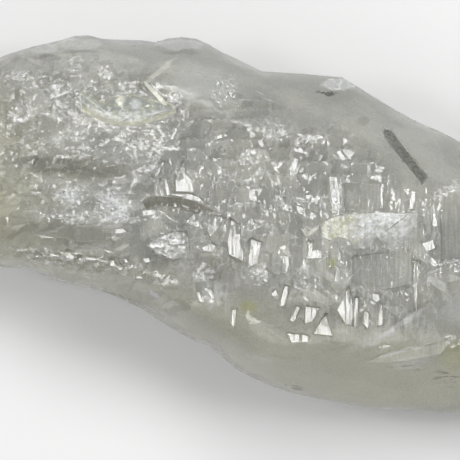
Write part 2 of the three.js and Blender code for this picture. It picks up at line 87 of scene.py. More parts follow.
corner = TABLE_HALF_WIDTH
table_mesh = bpy.data.meshes.new("table")
table_mesh.from_pydata(
    [(-corner, -corner, -TABLE_DROP), (corner, -corner, -TABLE_DROP),
     (corner, corner, -TABLE_DROP), (-corner, corner, -TABLE_DROP)], [], [(0, 1, 2, 3)])
table = bpy.data.objects.new("table", table_mesh)
bpy.context.scene.collection.objects.link(table)
table_finish = bpy.data.materials.new("table_paint")
table_finish.use_nodes = True
paint = table_finish.node_tree.nodes["Principled BSDF"]
paint.inputs["Base Color"].default_value = TABLE_COLOUR
paint.inputs["Roughness"].default_value = TABLE_ROUGHNESS
table_mesh.materials.append(table_finish)

for box in SOFTBOXES:
    lamp = bpy.data.lights.new(box["name"], "AREA")
    lamp.shape = "SQUARE"
    lamp.size = box["width"]
    lamp.energy = box["glow"] * math.pi * box["width"] ** 2
    softbox = bpy.data.objects.new(box["name"], lamp)
    bpy.context.scene.collection.objects.link(softbox)
    direction = Vector(box["towards"]).normalized()
    softbox.location = Vector(VIEW_MIDDLE) + direction * box["away"]
    softbox.rotation_euler = direction.to_track_quat("Z", "Y").to_euler()

room = bpy.data.worlds.new("room")
room.use_nodes = True
room.node_tree.nodes["Background"].inputs["Color"].default_value = (1, 1, 1, 1)
room.node_tree.nodes["Background"].inputs["Strength"].default_value = ROOM_GLOW
bpy.context.scene.world = room

# ---- The crystal's shape -----------------------------------------------------
# One piece of quartz, grown and then broken. Its body is that of the solid. Its upper face carries
# crowds of small crystals grown together, whose faces keep to a few directions, as in any one
# crystal, and the larger flats, shells and hollows of its breaks.
FINE_STEP = 0.5  # spacing of the mesh, in millimetres, where the small crystals and flats are
COARSE_EVERY = 3  # elsewhere only every third row and column of it is kept
COARSE_EDGE = 1.8 * MM  # longest mesh edge on the flanks and underneath
REFINE_ROUNDS = 6
NO_AREA = 1e-8 * MM ** 2
SAME_PLACE = 0.0002 * MM
FLANK_TOP = 13.2  # what is lower than this, in millimetres, belongs to the flanks
UPPER_FROM = 17.6  # the flats and the breaks are all higher than this
FAR = 1e6
TINY = 1e-12  # keeps a division from failing

# How far each kind of face rises along X and Y.
LEVEL = (0.04, 0.03)
TO_BACK = (0.02, -0.32)
TO_POINT = (-0.31, -0.1)
TO_ROOT = (0.34, -0.06)
TO_FRONT = (0.03, 0.36)
LEANING = (-0.16, 0.02)
SLIGHTLY_BACK = (0.03, -0.14)
LESS_TO_POINT = (-0.27, -0.1)

# Each crowd of small crystals: its middle and reach, their spacing along X and Y, how unevenly they
# stand, and their faces. A face is cut off where it would come nearer to the crystal's middle than
# its last two numbers allow, so a face with large ones is seldom seen.
CROWDS = [
    {"at": (-42, 18), "reach": (29, 15), "spacing": (3.0, 2.2), "lift": 0.1, "wander": 0.06,
     "faces": [(LEVEL, 0, 0.05), (LEANING, 0, 0.25), ((0.12, -0.12), 0, 0.2), (TO_BACK, 0.15, 1.5),
               (TO_POINT, 0.15, 1.5), (TO_ROOT, 0.15, 1.5), (TO_FRONT, 0.15, 0.6)]},
    {"at": (-38, 2), "reach": (18, 8), "spacing": (3.2, 1.5), "lift": 0.12, "wander": 0.06,
     "faces": [(LEVEL, 0, 0.1), (LEANING, 0, 0.2), ((0.1, -0.1), 0, 0.2), (TO_BACK, 0.15, 1.2),
               (TO_POINT, 0.2, 1.2), (TO_ROOT, 0.2, 1.2), (TO_FRONT, 0.1, 0.5)]},
    {"at": (-10, 1.5), "reach": (18, 9.5), "spacing": (2.6, 4.2), "lift": 0.1, "wander": 0.07,
     "faces": [(LEVEL, 0, 0.1), (LEANING, 0, 0.2), ((0.12, 0.08), 0, 0.2), ((0.08, -0.08), 0.05, 0.4),
               (TO_BACK, 0.3, 2.4), (TO_POINT, 0.15, 1.4), (TO_ROOT, 0.2, 1.8), (TO_FRONT, 0.1, 0.6)]},
    {"at": (14, -7), "reach": (19, 13), "spacing": (1.9, 6), "lift": 0.05, "wander": 0.03,
     "faces": [(LEVEL, 0, 0.1), (LEANING, 0, 0.2), ((0.14, 0.05), 0, 0.2), (TO_BACK, 0.5, 2.4),
               (TO_POINT, 0.05, 0.9), (TO_ROOT, 0.05, 1.0), (TO_FRONT, 0.3, 0.9)]},
    {"at": (-38, -7.5), "reach": (15, 3.6), "spacing": (1.7, 1.3), "lift": 0.18, "wander": 0.12,
     "faces": [(LEVEL, 0, 0.25), (LEANING, 0, 0.25), ((0.1, -0.1), 0, 0.3), (TO_BACK, 0, 0.5),
               (TO_POINT, 0, 0.6), (TO_ROOT, 0.05, 0.6), (TO_FRONT, 0, 0.4)]},
    {"at": (-20, -11), "reach": (12, 5.5), "spacing": (2.6, 1.5), "lift": 0.14, "wander": 0.1,
     "faces": [(LEVEL, 0, 0.1), (LEANING, 0, 0.2), ((0.1, -0.1), 0, 0.2), (TO_BACK, 0.05, 0.8),
               (TO_POINT, 0.1, 0.8), (TO_ROOT, 0.1, 0.8), (TO_FRONT, 0.1, 0.5)]},
    {"at": (-9, 16), "reach": (12.5, 8), "spacing": (2.2, 1.8), "lift": 0.08, "wander": 0.1,
     "faces": [((0.04, 0.15), 0, 0.1), ((-0.16, 0.14), 0, 0.15), ((0.1, 0.04), 0, 0.15),
               (TO_BACK, 1.2, 2.8), (TO_POINT, 0.4, 1.6), (TO_ROOT, 0.4, 1.6), (TO_FRONT, 0.1, 0.6)]},
    {"at": (7, 11), "reach": (11, 6.8), "spacing": (1.6, 2.4), "lift": 0.06, "wander": 0.08,
     "faces": [((0.04, 0.15), 0, 0.08), ((-0.16, 0.14), 0, 0.12), ((0.14, 0.18), 0, 0.12),
               (TO_BACK, 1.7, 3.4), (TO_POINT, 0.45, 1.6), (TO_ROOT, 0.45, 1.6), (TO_FRONT, 0.1, 0.6)]},
]
CROWD_RIM = (0.75, 1.05)  # parts of its reach between which a crowd dies away
MOST_RISE = 0.2  # steepest slope of the upper face that a crowd makes up for
CLEAR_OF_FLATS = 0.8  # a crowd dies away over this many millimetres before a larger flat

# The larger flats: a slope, and the outlines in millimetres of the flats that share it.
FLATS = [(slope, outline) for slope, *group in [
    (TO_BACK, [(-13.2, 1.7), (-10.6, 1.3), (-12, -1.1), (-12.9, -2), (-13.4, -1.1)],
     [(-9.3, 1), (-7.7, 0), (-7.6, -3.4), (-7.1, -5.2), (-7.3, -6.3), (-9.6, -5.2)],
     [(-5.8, -2.4), (-3.9, -3.1), (-4.6, -5.9), (-4.8, -6.8), (-6, -7.4), (-6.1, -5.4)],
     [(-15.8, 2), (-14.2, -0.7), (-17.4, 0.4)],
     [(-17.8, 11.4), (-17.4, 9.1), (-16.4, 8), (-15.9, 5.9), (-19, 6), (-19.1, 7.8), (-18.3, 9.5)],
     [(-20, 5.4), (-17.2, 5.7), (-15.1, 5), (-13.6, 3.7), (-12, 2.4), (-13, 2.5), (-14.6, 3.3),
      (-16.4, 4.5), (-17.9, 5)],
     [(-22.3, 2.7), (-21.2, 2.3), (-18.6, 0.3), (-20.2, 1.1)]),
    (SLIGHTLY_BACK, [(-24, -3.7), (-21.9, -2.2), (-19.7, -1.3), (-17.2, -1.2), (-16.8, -3.2),
      (-16.9, -5.7), (-19.7, -6), (-22.3, -5)]),
    (LEVEL, [(-37.5, -0.5), (-32.5, -0.3), (-32, -2.6), (-37, -3)]),
    (TO_BACK, [(-14.3, -4), (-12.8, -3.3), (-11.9, -3.7), (-11.9, -4.8), (-14.2, -4.6)]),
    (TO_POINT, [(-21.9, 6.2), (-21.4, 6.4), (-21.2, 5.2), (-21.7, 5.1)],
     [(-22.9, 9.2), (-22.4, 10.6), (-22, 10.7), (-22.3, 9.1)],
     [(-20.4, 11.7), (-20.1, 11.7), (-19.7, 10.7), (-20, 10.7)],
     [(14.5, -15.3), (15.1, -15.6), (15, -18.4), (14.4, -17.6)],
     [(-3.2, -7.8), (-2.6, -8.3), (-2.9, -10.2), (-3.5, -9.9)]),
    (TO_BACK, [(-1.8, -12.6), (-1.4, -11.4), (-0.8, -12.6)],
     [(17.3, -21.6), (18.2, -21.4), (19.4, -21.5), (17.6, -22.1)]),
    (TO_POINT, [(9.7, -4.9), (10.1, -4.9), (10.1, -6.2), (9.7, -6.2)]),
    (LESS_TO_POINT, [(17.3, 6.6), (17.7, 6.6), (17.7, 3), (17.3, 3)]),
    (TO_BACK, [(24.4, 4.2), (25.5, 4.3), (25.4, 3.4), (24.5, 3.3)]),
    (TO_POINT, [(-9, -15), (-8.3, -15.2), (-8.8, -18), (-9.2, -17.6)],
     [(8.2, 8.5), (9.4, 8.5), (10.2, 4.5), (9.8, 2.1), (8.7, 2.1)]),
    (LESS_TO_POINT, [(22.8, 5.9), (23.5, 5.8), (23.3, 2.9), (22.4, 2.9)],
     [(26, 2.3), (26.7, 4.1), (27.4, -0.2), (26.6, -3.1)]),
    (TO_BACK, [(24.6, -3.2), (26.6, -2.7), (26.9, -4.1), (25.5, -4.7)]),
    (LESS_TO_POINT, [(21.5, -3.6), (22.2, -3.4), (23.2, -5.2), (22.6, -5.3)],
     [(23.2, -6.5), (24, -6.5), (23.7, -15.1), (23.3, -13.5)]),
    (TO_POINT, [(11.7, -10.9), (12.3, -14), (12, -17.8), (11.1, -17.6), (9.6, -15.1), (10.5, -13.5)]),
    (TO_BACK, [(7.5, -15.8), (8.6, -19.6), (5.5, -19.3)],
     [(4, -14.4), (6.4, -14.8), (5.1, -17.1), (3.9, -17.5)]),
    (TO_POINT, [(1.3, -16.9), (2.4, -14.4), (3, -14.6), (1.9, -17.1)]),
    (TO_BACK, [(0.8, -19.3), (4.2, -19.6), (4.5, -20.7), (1.5, -20.9)]),
    (TO_POINT, [(16.8, -13.9), (17.6, -14.2), (17.6, -17.8), (17, -17.8)],
     [(12.9, -13), (13.3, -13), (13.1, -18), (12.7, -18)]),
    (TO_BACK, [(-12.2, 15.7), (-10.3, 16.3), (-10.2, 15.7), (-12, 15.1)],
     [(2.1, 3.6), (4.5, 2.6), (5.8, 1.6), (5.2, 0.9), (3.6, 1.6), (2.3, 2.5)]),
    (TO_POINT, [(-0.1, -5.5), (0.9, -5.7), (1.1, -7.2), (0.2, -8.6), (-0.1, -8.4)]),
    (TO_BACK, [(4.4, -2.6), (5.2, -3), (5.1, -4.6), (6.9, -5.2), (6.8, -5.8), (4, -5.9)]),
    (TO_POINT, [(9.6, -7.4), (10.4, -7.8), (9.9, -10), (9.1, -9.9)],
     [(0.3, -10.8), (1, -11), (0.1, -14.3), (-0.7, -14.4)]),
    (TO_BACK, [(15.9, -12.2), (16.8, -12.3), (17.1, -13.3), (16.5, -13.7), (15.9, -13.2)]),
    (TO_POINT, [(1.2, 9), (2, 11.9), (2.7, 11.6), (1.7, 8.7)],
     [(-21.2, 8.1), (-20.7, 8.1), (-20.1, 5.3), (-20.6, 5.3)],
     [(-22.2, 8), (-21.9, 8.1), (-22.6, 5.2), (-23, 5.3)],
     [(-21.4, 11.3), (-21, 11.2), (-22.4, 8.6), (-22.8, 8.8)]),
    (TO_BACK, [(-25, 2.5), (-22.8, 2.7), (-22.9, 1.9), (-24.9, 1.7)]),
    (TO_POINT, [(-19.1, 17.2), (-18.8, 17), (-19.6, 15.2), (-20, 15.3)]),
    (TO_BACK, [(-13.9, 14.4), (-12.9, 14.7), (-12.8, 14), (-13.8, 13.8)]),
    (LEANING, [(27.9, 6), (33, 6.4), (35, -5.5), (28.3, -6.3)]),
    (SLIGHTLY_BACK, [(10.7, 7.2), (16.9, 7.2), (17.1, 2.9), (14.5, 2.6), (10.9, 2.2)]),
    (LEVEL, [(12.5, -5.6), (16, -5.2), (22.6, -5), (22.6, -10.5), (17, -11.6), (12.6, -10.3)]),
    (TO_FRONT, [(14.8, -24.5), (18.4, -23), (24.8, -21.8), (29.8, -20.9), (28.3, -22.9), (21.1, -24.3)]),
    (TO_BACK, [(-39.2, -4.8), (-38.6, -4.6), (-37.4, -5.3), (-37.3, -6), (-38, -6.2), (-38.9, -5.6)],
     [(-36.5, -5.4), (-35.9, -5.5), (-35.9, -6.8), (-36.4, -6.9)],
     [(-35.4, -5.7), (-33.6, -5.7), (-33.5, -6.3), (-35.2, -6.2)],
     [(-32.6, -6.1), (-31.2, -6.2), (-31.2, -6.7), (-32.4, -6.6)],
     [(-30.9, -6.2), (-30.2, -6.3), (-29.9, -7.4), (-30.8, -7.3)],
     [(-29.7, -6.9), (-29.1, -7), (-28.7, -8), (-29.3, -8)],
     [(-28.5, -6), (-28.1, -6), (-27.6, -6.6), (-28, -6.8)],
     [(-46.9, -4.9), (-46.4, -4.8), (-45.1, -5.9), (-45.5, -6.1)],
     [(-44.2, -5.2), (-43.4, -5.3), (-43.4, -5.7), (-44.2, -5.7)],
     [(-41.6, -5), (-40.2, -5.1), (-40.2, -5.6), (-41.5, -5.6)],
     [(-40.2, -6.2), (-39.3, -6.3), (-39.2, -6.9), (-40, -7)],
     [(-25, -6), (-24, -5.9), (-23.7, -6.5), (-24.5, -6.7)],
     [(-26.3, -9.2), (-24.7, -9.1), (-24.8, -9.6), (-26.2, -9.6)],
     [(-30.4, -0.9), (-28.6, -0.5), (-27.9, -1.2), (-29.5, -1.5), (-30.6, -1.5)],
     [(-31.8, -4.4), (-30.6, -4.6), (-30.3, -5), (-31.2, -4.9)],
     [(-13.4, -11.4), (-12.7, -11.6), (-12.3, -13.1), (-12.8, -13)],
     [(-15.4, -11.9), (-14.9, -12), (-14.3, -13.8), (-14.8, -13.6)]),
] for outline in group]

# The breaks that have a finish of their own: how far each sinks in its middle and lies below its
# surroundings, in millimetres, its slope and its outline.
BREAKS = {
    "lens": {"scoop": 0.7, "drop": 0.0, "slope": LEVEL, "outline": [
        (-36.4, 23.4), (-36.3, 21.6), (-35.7, 20.2), (-33.7, 19.1), (-31.4, 18.1), (-29.2, 17.6),
        (-26.5, 17.5), (-23.8, 18.2), (-21.1, 19), (-19, 20), (-19.2, 21.1), (-20.6, 21.8),
        (-23.9, 22.5), (-26.6, 23.2), (-29.6, 22.9), (-32, 21.8), (-33.8, 22.9), (-35.6, 23.9)]},
    "lens_clear": {"scoop": 0.2, "drop": 0.35, "slope": (0.06, 0.05), "outline": [
        (-36.1, 23.2), (-35.9, 21.9), (-34.8, 20.9), (-32.6, 19.8), (-30.2, 18.9), (-28, 18.5),
        (-25.6, 18.7), (-23, 19.6), (-20.8, 20.2), (-19.5, 20.6), (-20.8, 21.6), (-24, 22.3),
        (-26.6, 22.9), (-29.5, 22.6), (-32, 21.5), (-33.9, 22.6), (-35.6, 23.6)]},
    "blade": {"scoop": 0.0, "drop": -0.1, "slope": TO_POINT, "outline": [
        (-24.9, 25.6), (-24.3, 25.4), (-22.4, 23.7), (-21, 22.1), (-20.6, 21.2), (-21.3, 21.4),
        (-22.8, 22.9), (-24.4, 24.7)]},
    "plate": {"scoop": 0.0, "drop": -0.1, "slope": (-0.014, 0), "outline": [
        (6.7, -0.6), (7.3, 0.6), (9.1, 1.4), (11.5, 1.8), (14.5, 2), (17.5, 2.2), (21.1, 1.9),
        (23.8, 2.4), (23.8, 0), (23.5, -2.4), (22, -3.6), (19.3, -3.9), (17.5, -3), (16.6, -2.1),
        (15.4, -3.9), (14.2, -4.3), (12.7, -3.6), (11.5, -2.4), (9.7, -2.1), (8.2, -2.7), (7, -2.1)]},
    "plate_tail": {"scoop": 0.0, "drop": -0.1, "slope": LEVEL, "outline": [
        (3.1, -0.6), (3.7, -0.8), (4.2, -1.4), (6.4, 0), (6.2, -0.7), (4.6, -1.9), (3.9, -1.9)]},
    "slot": {"scoop": 0.3, "drop": 0.9, "slope": LEVEL, "outline": [
        (18.2, 17.1), (19.4, 16.9), (22.1, 13.2), (25.8, 8.7), (24.7, 7.4), (21.5, 11.4), (19.4, 14.2),
        (18.1, 16.2)]},
    "bird": {"scoop": 0.2, "drop": 0.15, "slope": (0.05, 0.15), "outline": [
        (-25, 4), (-23.9, 4.9), (-22, 5), (-19.4, 4.9), (-16.6, 4.5), (-13.5, 3.4), (-12.2, 2.2),
        (-14.8, 2), (-17.5, 2.9), (-22, 3.4), (-24.3, 2.7)]},
}

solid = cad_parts["quartz_crystal"]
shape = bmesh.new()
shape.from_mesh(solid.data)
bmesh.ops.remove_doubles(shape, verts=shape.verts, dist=SAME_PLACE)


def share_of(crowd, x, y):
    """1 well inside the crowd's ellipse, falling to 0 at its rim. The places are in millimetres."""
    away = np.hypot((x - crowd["at"][0]) / crowd["reach"][0], (y - crowd["at"][1]) / crowd["reach"][1])
    return np.clip((CROWD_RIM[1] - away) / (CROWD_RIM[1] - CROWD_RIM[0]), 0, 1)


flat_outlines = [np.array(outline, float) for _, outline in FLATS]
break_outlines = [np.array(broken["outline"], float) for broken in BREAKS.values()]
outlines = flat_outlines + break_outlines

for _ in range(REFINE_ROUNDS):
    too_long = [edge for edge in shape.edges if edge.calc_length() > COARSE_EDGE]
    if not too_long:
        break
    bmesh.ops.subdivide_edges(shape, edges=too_long, cuts=1)
    bmesh.ops.triangulate(shape, faces=shape.faces)

slivers = [face for face in shape.faces if face.calc_area() < NO_AREA]
bmesh.ops.delete(shape, geom=slivers, context="FACES_ONLY")
bmesh.ops.remove_doubles(shape, verts=shape.verts, dist=SAME_PLACE)

# The upper face's general height, with its pits filled and evened out, on a grid across the crystal.
# These are all in millimetres.
GRID_STEP = 0.5
GRID_MARGIN = 8
PIT_REACH = 4.5  # hollows narrower than twice this are filled first
EVENED_OVER = 1.4
LAID_FROM = 2.0  # how far in from the crystal's outline the upper face is laid afresh
WORK_STARTS, WORK_FULL = 0.8, 3.0  # how far in the small crystals start, and stand at full height
WORK_DEPTH, WORK_FADE = 8, 2  # they end this far below the general height, and fade before that
grid_corner = np.array([cad_box[0][0], cad_box[0][1]]) / MM - GRID_MARGIN
grid_size = ((np.array([cad_box[1][0], cad_box[1][1]]) / MM + GRID_MARGIN - grid_corner) / GRID_STEP)
grid_size = np.ceil(grid_size).astype(int)
reach = np.arange(-math.ceil(3 * EVENED_OVER / GRID_STEP), math.ceil(3 * EVENED_OVER / GRID_STEP) + 1)
kernel = np.exp(-0.5 * (reach * GRID_STEP / EVENED_OVER) ** 2)


def evened(grid):
    for axis in (0, 1):
        grid = np.apply_along_axis(np.convolve, axis, grid, kernel, "same")
    return grid


def on_grid(grid, spots):
    at = (spots[:, :2] - grid_corner) / GRID_STEP
    low = np.clip(np.floor(at).astype(int), 0, grid_size - 2)
    part = at - low
    rows = [grid[low[:, 0] + step, low[:, 1]] * (1 - part[:, 1])
            + grid[low[:, 0] + step, low[:, 1] + 1] * part[:, 1] for step in (0, 1)]
    return rows[0] * (1 - part[:, 0]) + rows[1] * part[:, 0]


def all_spots():
    return np.array([vertex.co for vertex in shape.verts]) / MM


def all_centres():
    return np.array([face.calc_center_median() for face in shape.faces]) / MM


def spread(grid, choose):
    """The highest or the lowest height within PIT_REACH of each place."""
    steps = round(PIT_REACH / GRID_STEP)
    padded = np.pad(grid, steps, "edge")
    return reduce(choose, (
        padded[a:a + grid_size[0], b:b + grid_size[1]]
        for a, b in np.ndindex(2 * steps + 1, 2 * steps + 1) if math.hypot(a - steps, b - steps) <= steps))


tree = BVHTree.FromBMesh(shape)
OVERHEAD = 1  # metres


def solid_height(x, y):
    """How high the solid stands at this place, in millimetres, seen from above."""
    found = tree.ray_cast(Vector((x * MM, y * MM, OVERHEAD)), Vector((0, 0, -1)))[0]
    return found.z / MM if found else 0.0


SEED = 7
chance = np.random.default_rng(SEED)
columns, rows = (np.arange(count) * GRID_STEP for count in grid_size)
highest = np.array([[solid_height(*(grid_corner + (column, row))) for row in rows] for column in columns])
highest[highest < FLANK_TOP] = 0
filled = spread(spread(highest, np.maximum), np.minimum)
weight = (highest > 0).astype(float)
ground = evened(filled * weight) / np.maximum(evened(weight), TINY)


def beside(cells):
    """The cells one step to each side."""
    return (np.roll(cells, 1, 0), np.roll(cells, -1, 0), np.roll(cells, 1, 1), np.roll(cells, -1, 1))


outside = np.zeros(grid_size, bool)
outside[0, 0] = growing = True
while growing:
    wider = np.logical_or.reduce((outside, *beside(outside))) & (highest == 0)
    growing = (wider != outside).any()
    outside = wider
remaining = ~outside
inwards = np.zeros(grid_size)
while remaining.any():
    inwards += remaining * GRID_STEP
    remaining = np.logical_and.reduce((remaining, *beside(remaining)))
inwards = evened(inwards) / kernel.sum() ** 2


def worked_share(spots):
    """Where the upper face is worked over: 1 on it, and 0 on the flanks and underneath."""
    share = np.clip((on_grid(inwards, spots) - WORK_STARTS) / (WORK_FULL - WORK_STARTS), 0, 1)
    below = on_grid(ground, spots) - spots[:, 2]
    return share * np.clip((WORK_DEPTH - below) / WORK_FADE, 0, 1)


def settle(wanted, share):
    """Moves every vertex towards its wanted height, in millimetres, by its share."""
    for vertex, height, part in zip(shape.verts, wanted, share):
        if part > 0:
            vertex.co.z += part * (height * MM - vertex.co.z)


def edge_distance(outline, flat_points):
    """How far each place lies inside the outline, in millimetres; less than 0 outside it."""
    nearest = np.full(len(flat_points), FAR)
    inside = np.zeros(len(flat_points), bool)
    for start, end in zip(outline, np.roll(outline, -1, 0)):
        along = end - start
        part = np.clip(((flat_points - start) @ along) / max(along @ along, TINY), 0, 1)
        nearest = np.minimum(nearest, np.linalg.norm(flat_points - start - part[:, None] * along, axis=1))
        crosses = (start[1] > flat_points[:, 1]) != (end[1] > flat_points[:, 1])
        with np.errstate(divide="ignore", invalid="ignore"):
            at = start[0] + (flat_points[:, 1] - start[1]) * along[0] / along[1]
        inside ^= crosses & (flat_points[:, 0] < at)
    return np.where(inside, nearest, -nearest)


OUTLINE_MARGIN = 1  # millimetres


def close_to(outline, spots):
    """Whether each place is in the outline's box, or no further than OUTLINE_MARGIN from it."""
    low, high = outline.min(0) - OUTLINE_MARGIN, outline.max(0) + OUTLINE_MARGIN
    return ((spots[:, :2] > low) & (spots[:, :2] < high)).all(1)


# The upper face is laid afresh inside a rim: an even mesh whose edges follow every outline.
CLEAR_OF_RIM, CLEAR_OF_OUTLINES = 0.6 * FINE_STEP, 0.35 * FINE_STEP
JITTER = 0.2
INSIDE_ONLY = 1  # the kind of triangulation that covers only what the rim encloses
SAME_POINT = 1e-4
RIM_WELD = 0.002 * MM


def rim_of(faces):
    """The longest ring of edges round these faces, in order."""
    rim = dict.fromkeys(edge for edge in shape.edges if sum(face in faces for face in edge.link_faces) == 1)
    rings = []
    while rim:
        edge = next(iter(rim))
        del rim[edge]
        ring = [edge.verts[0], edge.verts[1]]
        while ring[-1] != ring[0]:
            edge = next(other for other in ring[-1].link_edges if other in rim)
            del rim[edge]
            ring.append(edge.other_vert(ring[-1]))
        rings.append(ring[:-1])
    return max(rings, key=len)


def joined_to(faces, fence):
    """These faces, and all that join up with them without crossing the fence."""
    joined = list(faces)
    known = set(joined)
    for face in joined:
        for edge in face.edges:
            if edge not in fence:
                beyond = [other for other in edge.link_faces if other not in known]
                joined += beyond
                known.update(beyond)
    return joined


centres = all_centres()
above = centres[:, 2] > on_grid(ground, centres) - WORK_DEPTH
above &= centres[:, 2] > FLANK_TOP
cells = np.round((centres[:, :2] - grid_corner) / GRID_STEP).astype(int)
chosen = above & (inwards[cells[:, 0], cells[:, 1]] > LAID_FROM)
chosen = {face for face, picked in zip(shape.faces, chosen) if picked}
rim = rim_of(chosen)
rim_line = np.array([vertex.co.xy for vertex in rim]) / MM
rim_edges = {shape.edges.get(ends) for ends in zip(rim, rim[1:] + rim[:1])}
enclosed = joined_to([face for face in shape.edges.get(rim[:2]).link_faces if face in chosen], rim_edges)
bmesh.ops.delete(shape, geom=enclosed, context="FACES_ONLY")

steps = np.ceil((rim_line.max(0) - rim_line.min(0)) / FINE_STEP).astype(int)
rows = np.indices(steps).reshape(2, -1).T
places = rows + [0, 0.5] * (rows[:, :1] % 2) + chance.uniform(-JITTER, JITTER, rows.shape)
lattice = rim_line.min(0) + places * FINE_STEP
fine = np.zeros(len(lattice), bool)
for crowd in CROWDS:
    fine |= share_of(crowd, lattice[:, 0], lattice[:, 1]) > 0
for outline in outlines:
    fine |= close_to(outline, lattice)
fine |= (rows % COARSE_EVERY == 0).all(1)
lattice = lattice[fine]
lattice = lattice[edge_distance(rim_line, lattice) > CLEAR_OF_RIM]
for outline in outlines:
    lattice = lattice[abs(edge_distance(outline, lattice)) > CLEAR_OF_OUTLINES]

laid = [rim_line, lattice, *outlines]
ring_edges = []
first = 0
for group in laid:
    if group is not lattice:
        ring_edges += [(first + a, first + (a + 1) % len(group)) for a in range(len(group))]
    first += len(group)
flat_points, _, triangles, origins, _, _ = geometry.delaunay_2d_cdt(
    [Vector(point) for point in np.concatenate(laid)], ring_edges, [], INSIDE_ONLY, SAME_POINT)
placed = []
for point, origin in zip(np.array(flat_points), origins):
    old = [number for number in origin if number < len(rim_line)]
    placed.append(rim[old[0]] if old else shape.verts.new((*point * MM, solid_height(*point) * MM)))
for corner_numbers in triangles:
    three = [placed[number] for number in corner_numbers]
    if len(set(three)) == 3 and not shape.faces.get(three):
        shape.faces.new(three)
bmesh.ops.remove_doubles(shape, verts=list(dict.fromkeys(rim)), dist=RIM_WELD)

# Where the rim doubles back, a scrap of faces can hang inside. It is the smallest part that edges
# with three faces cut off.
crossed = dict.fromkeys(edge for edge in shape.edges if len(edge.link_faces) > 2)
parts = [joined_to([face], crossed) for edge in crossed for face in edge.link_faces]
if parts:
    bmesh.ops.delete(shape, geom=min(parts, key=len), context="FACES_ONLY")
loose = [edge for edge in shape.edges if not edge.link_faces]
bmesh.ops.delete(shape, geom=loose, context="EDGES")
loose = [vertex for vertex in shape.verts if not vertex.link_faces]
bmesh.ops.delete(shape, geom=loose, context="VERTS")
bmesh.ops.triangulate(shape, faces=shape.faces)
bmesh.ops.recalc_face_normals(shape, faces=shape.faces)
shape.verts.index_update()
spots = all_spots()
settle(on_grid(ground, spots), worked_share(spots))


def plant(crowd):
    """Scatters the crowd's small crystals, one in each box. A face stands base + slope . place above
    the upper face's general height, whose own slope is taken off where it is gentle."""
    step = np.array(crowd["spacing"])
    corner = np.array(crowd["at"]) - crowd["reach"]
    counts = np.ceil(2 * np.array(crowd["reach"]) / step).astype(int)
    boxes = np.moveaxis(np.indices(counts), 0, -1)
    middles = corner + (boxes + chance.uniform(0, 1, boxes.shape)) * step
    height = chance.uniform(-crowd["lift"], crowd["lift"], counts)
    flat_middles = middles.reshape(-1, 2)
    rise = np.stack([on_grid(ground, flat_middles + half) - on_grid(ground, flat_middles - half)
                     for half in ([0.5, 0], [0, 0.5])], -1)
    rise *= np.minimum(1, MOST_RISE / np.maximum(np.linalg.norm(rise, axis=1, keepdims=True), TINY))
    slopes = np.array([face[0] for face in crowd["faces"]])
    slopes = slopes + chance.uniform(-1, 1, (*counts, len(slopes), 2)) * crowd["wander"]
    slopes = slopes - rise.reshape(*counts, 1, 2)
    room = chance.uniform([face[1] for face in crowd["faces"]], [face[2] for face in crowd["faces"]],
                          (*counts, len(crowd["faces"])))
    base = height[..., None] + room - (slopes * middles[:, :, None, :]).sum(-1)
    return {"corner": corner, "step": step, "counts": counts, "slopes": slopes.reshape(-1, 2),
            "base": base.reshape(-1), "faces": len(crowd["faces"])}


def stand(planted, flat_points):
    """The height of the crowd at each place, and which small face lies there."""
    box = np.floor((flat_points - planted["corner"]) / planted["step"]).astype(int)
    height = np.full(len(flat_points), -FAR)
    label = np.zeros(len(flat_points), int)
    for shift in [(a, b) for a in (-1, 0, 1) for b in (-1, 0, 1)]:
        near = np.clip(box + shift, 0, planted["counts"] - 1)
        first = (near[:, 0] * planted["counts"][1] + near[:, 1]) * planted["faces"]
        faces = first[:, None] + np.arange(planted["faces"])
        planes = planted["base"][faces] + (planted["slopes"][faces] * flat_points[:, None]).sum(-1)
        lowest = planes.min(1)
        taller = lowest > height
        height[taller] = lowest[taller]
        label[taller] = faces[np.arange(len(faces)), planes.argmin(1)][taller]
    return height, label


NEAR_END = 0.04  # an edge isn't cut within this part of its length from either end


def cut_along_creases(planted, share, labels):
    """Cuts the mesh where one small face meets the next."""
    base, slopes = planted["base"], planted["slopes"]
    cuts = {}
    for edge in shape.edges:
        first, last = edge.verts
        one, other = labels[first.index], labels[last.index]
        if one == other or share[first.index] == 0 or share[last.index] == 0:
            continue
        gaps = [base[one] - base[other] + (slopes[one] - slopes[other]) @ np.array(end.co.xy) / MM
                for end in (first, last)]
        if gaps[0] * gaps[1] < 0:
            part = gaps[0] / (gaps[0] - gaps[1])
            if NEAR_END < part < 1 - NEAR_END:
                cuts[edge] = part
    bmesh.ops.subdivide_edges(shape, edges=list(cuts), cuts=1, edge_percents=cuts)
    bmesh.ops.triangulate(shape, faces=shape.faces)



def from_flats(spots):
    """How far each place lies outside the nearest larger flat or break."""
    away = np.full(len(spots), FAR)
    for outline in outlines:
        close = close_to(outline, spots)
        away[close] = np.minimum(away[close], -edge_distance(outline, spots[close, :2]))
    return np.maximum(away, 0)


def share_on(crowd, spots):
    return (share_of(crowd, spots[:, 0], spots[:, 1]) * worked_share(spots)
            * np.clip(from_flats(spots) / CLEAR_OF_FLATS, 0, 1))


crowds_planted = []
for crowd in CROWDS:
    spots = all_spots()
    planted = plant(crowd)
    share = share_on(crowd, spots)
    labels = np.zeros(len(spots), int)
    heights, labels[share > 0] = stand(planted, spots[share > 0, :2])
    planted["base"] -= heights.mean()
    cut_along_creases(planted, share, labels)
    spots = all_spots()
    share = share_on(crowd, spots)
    wanted = spots[:, 2].copy()
    here = spots[share > 0]
    wanted[share > 0] = on_grid(ground, here) + stand(planted, here[:, :2])[0]
    settle(wanted, share)
    crowds_planted.append(planted)


ON_OUTLINE = 0.02  # a vertex no further outside an outline than this, in millimetres, is on it


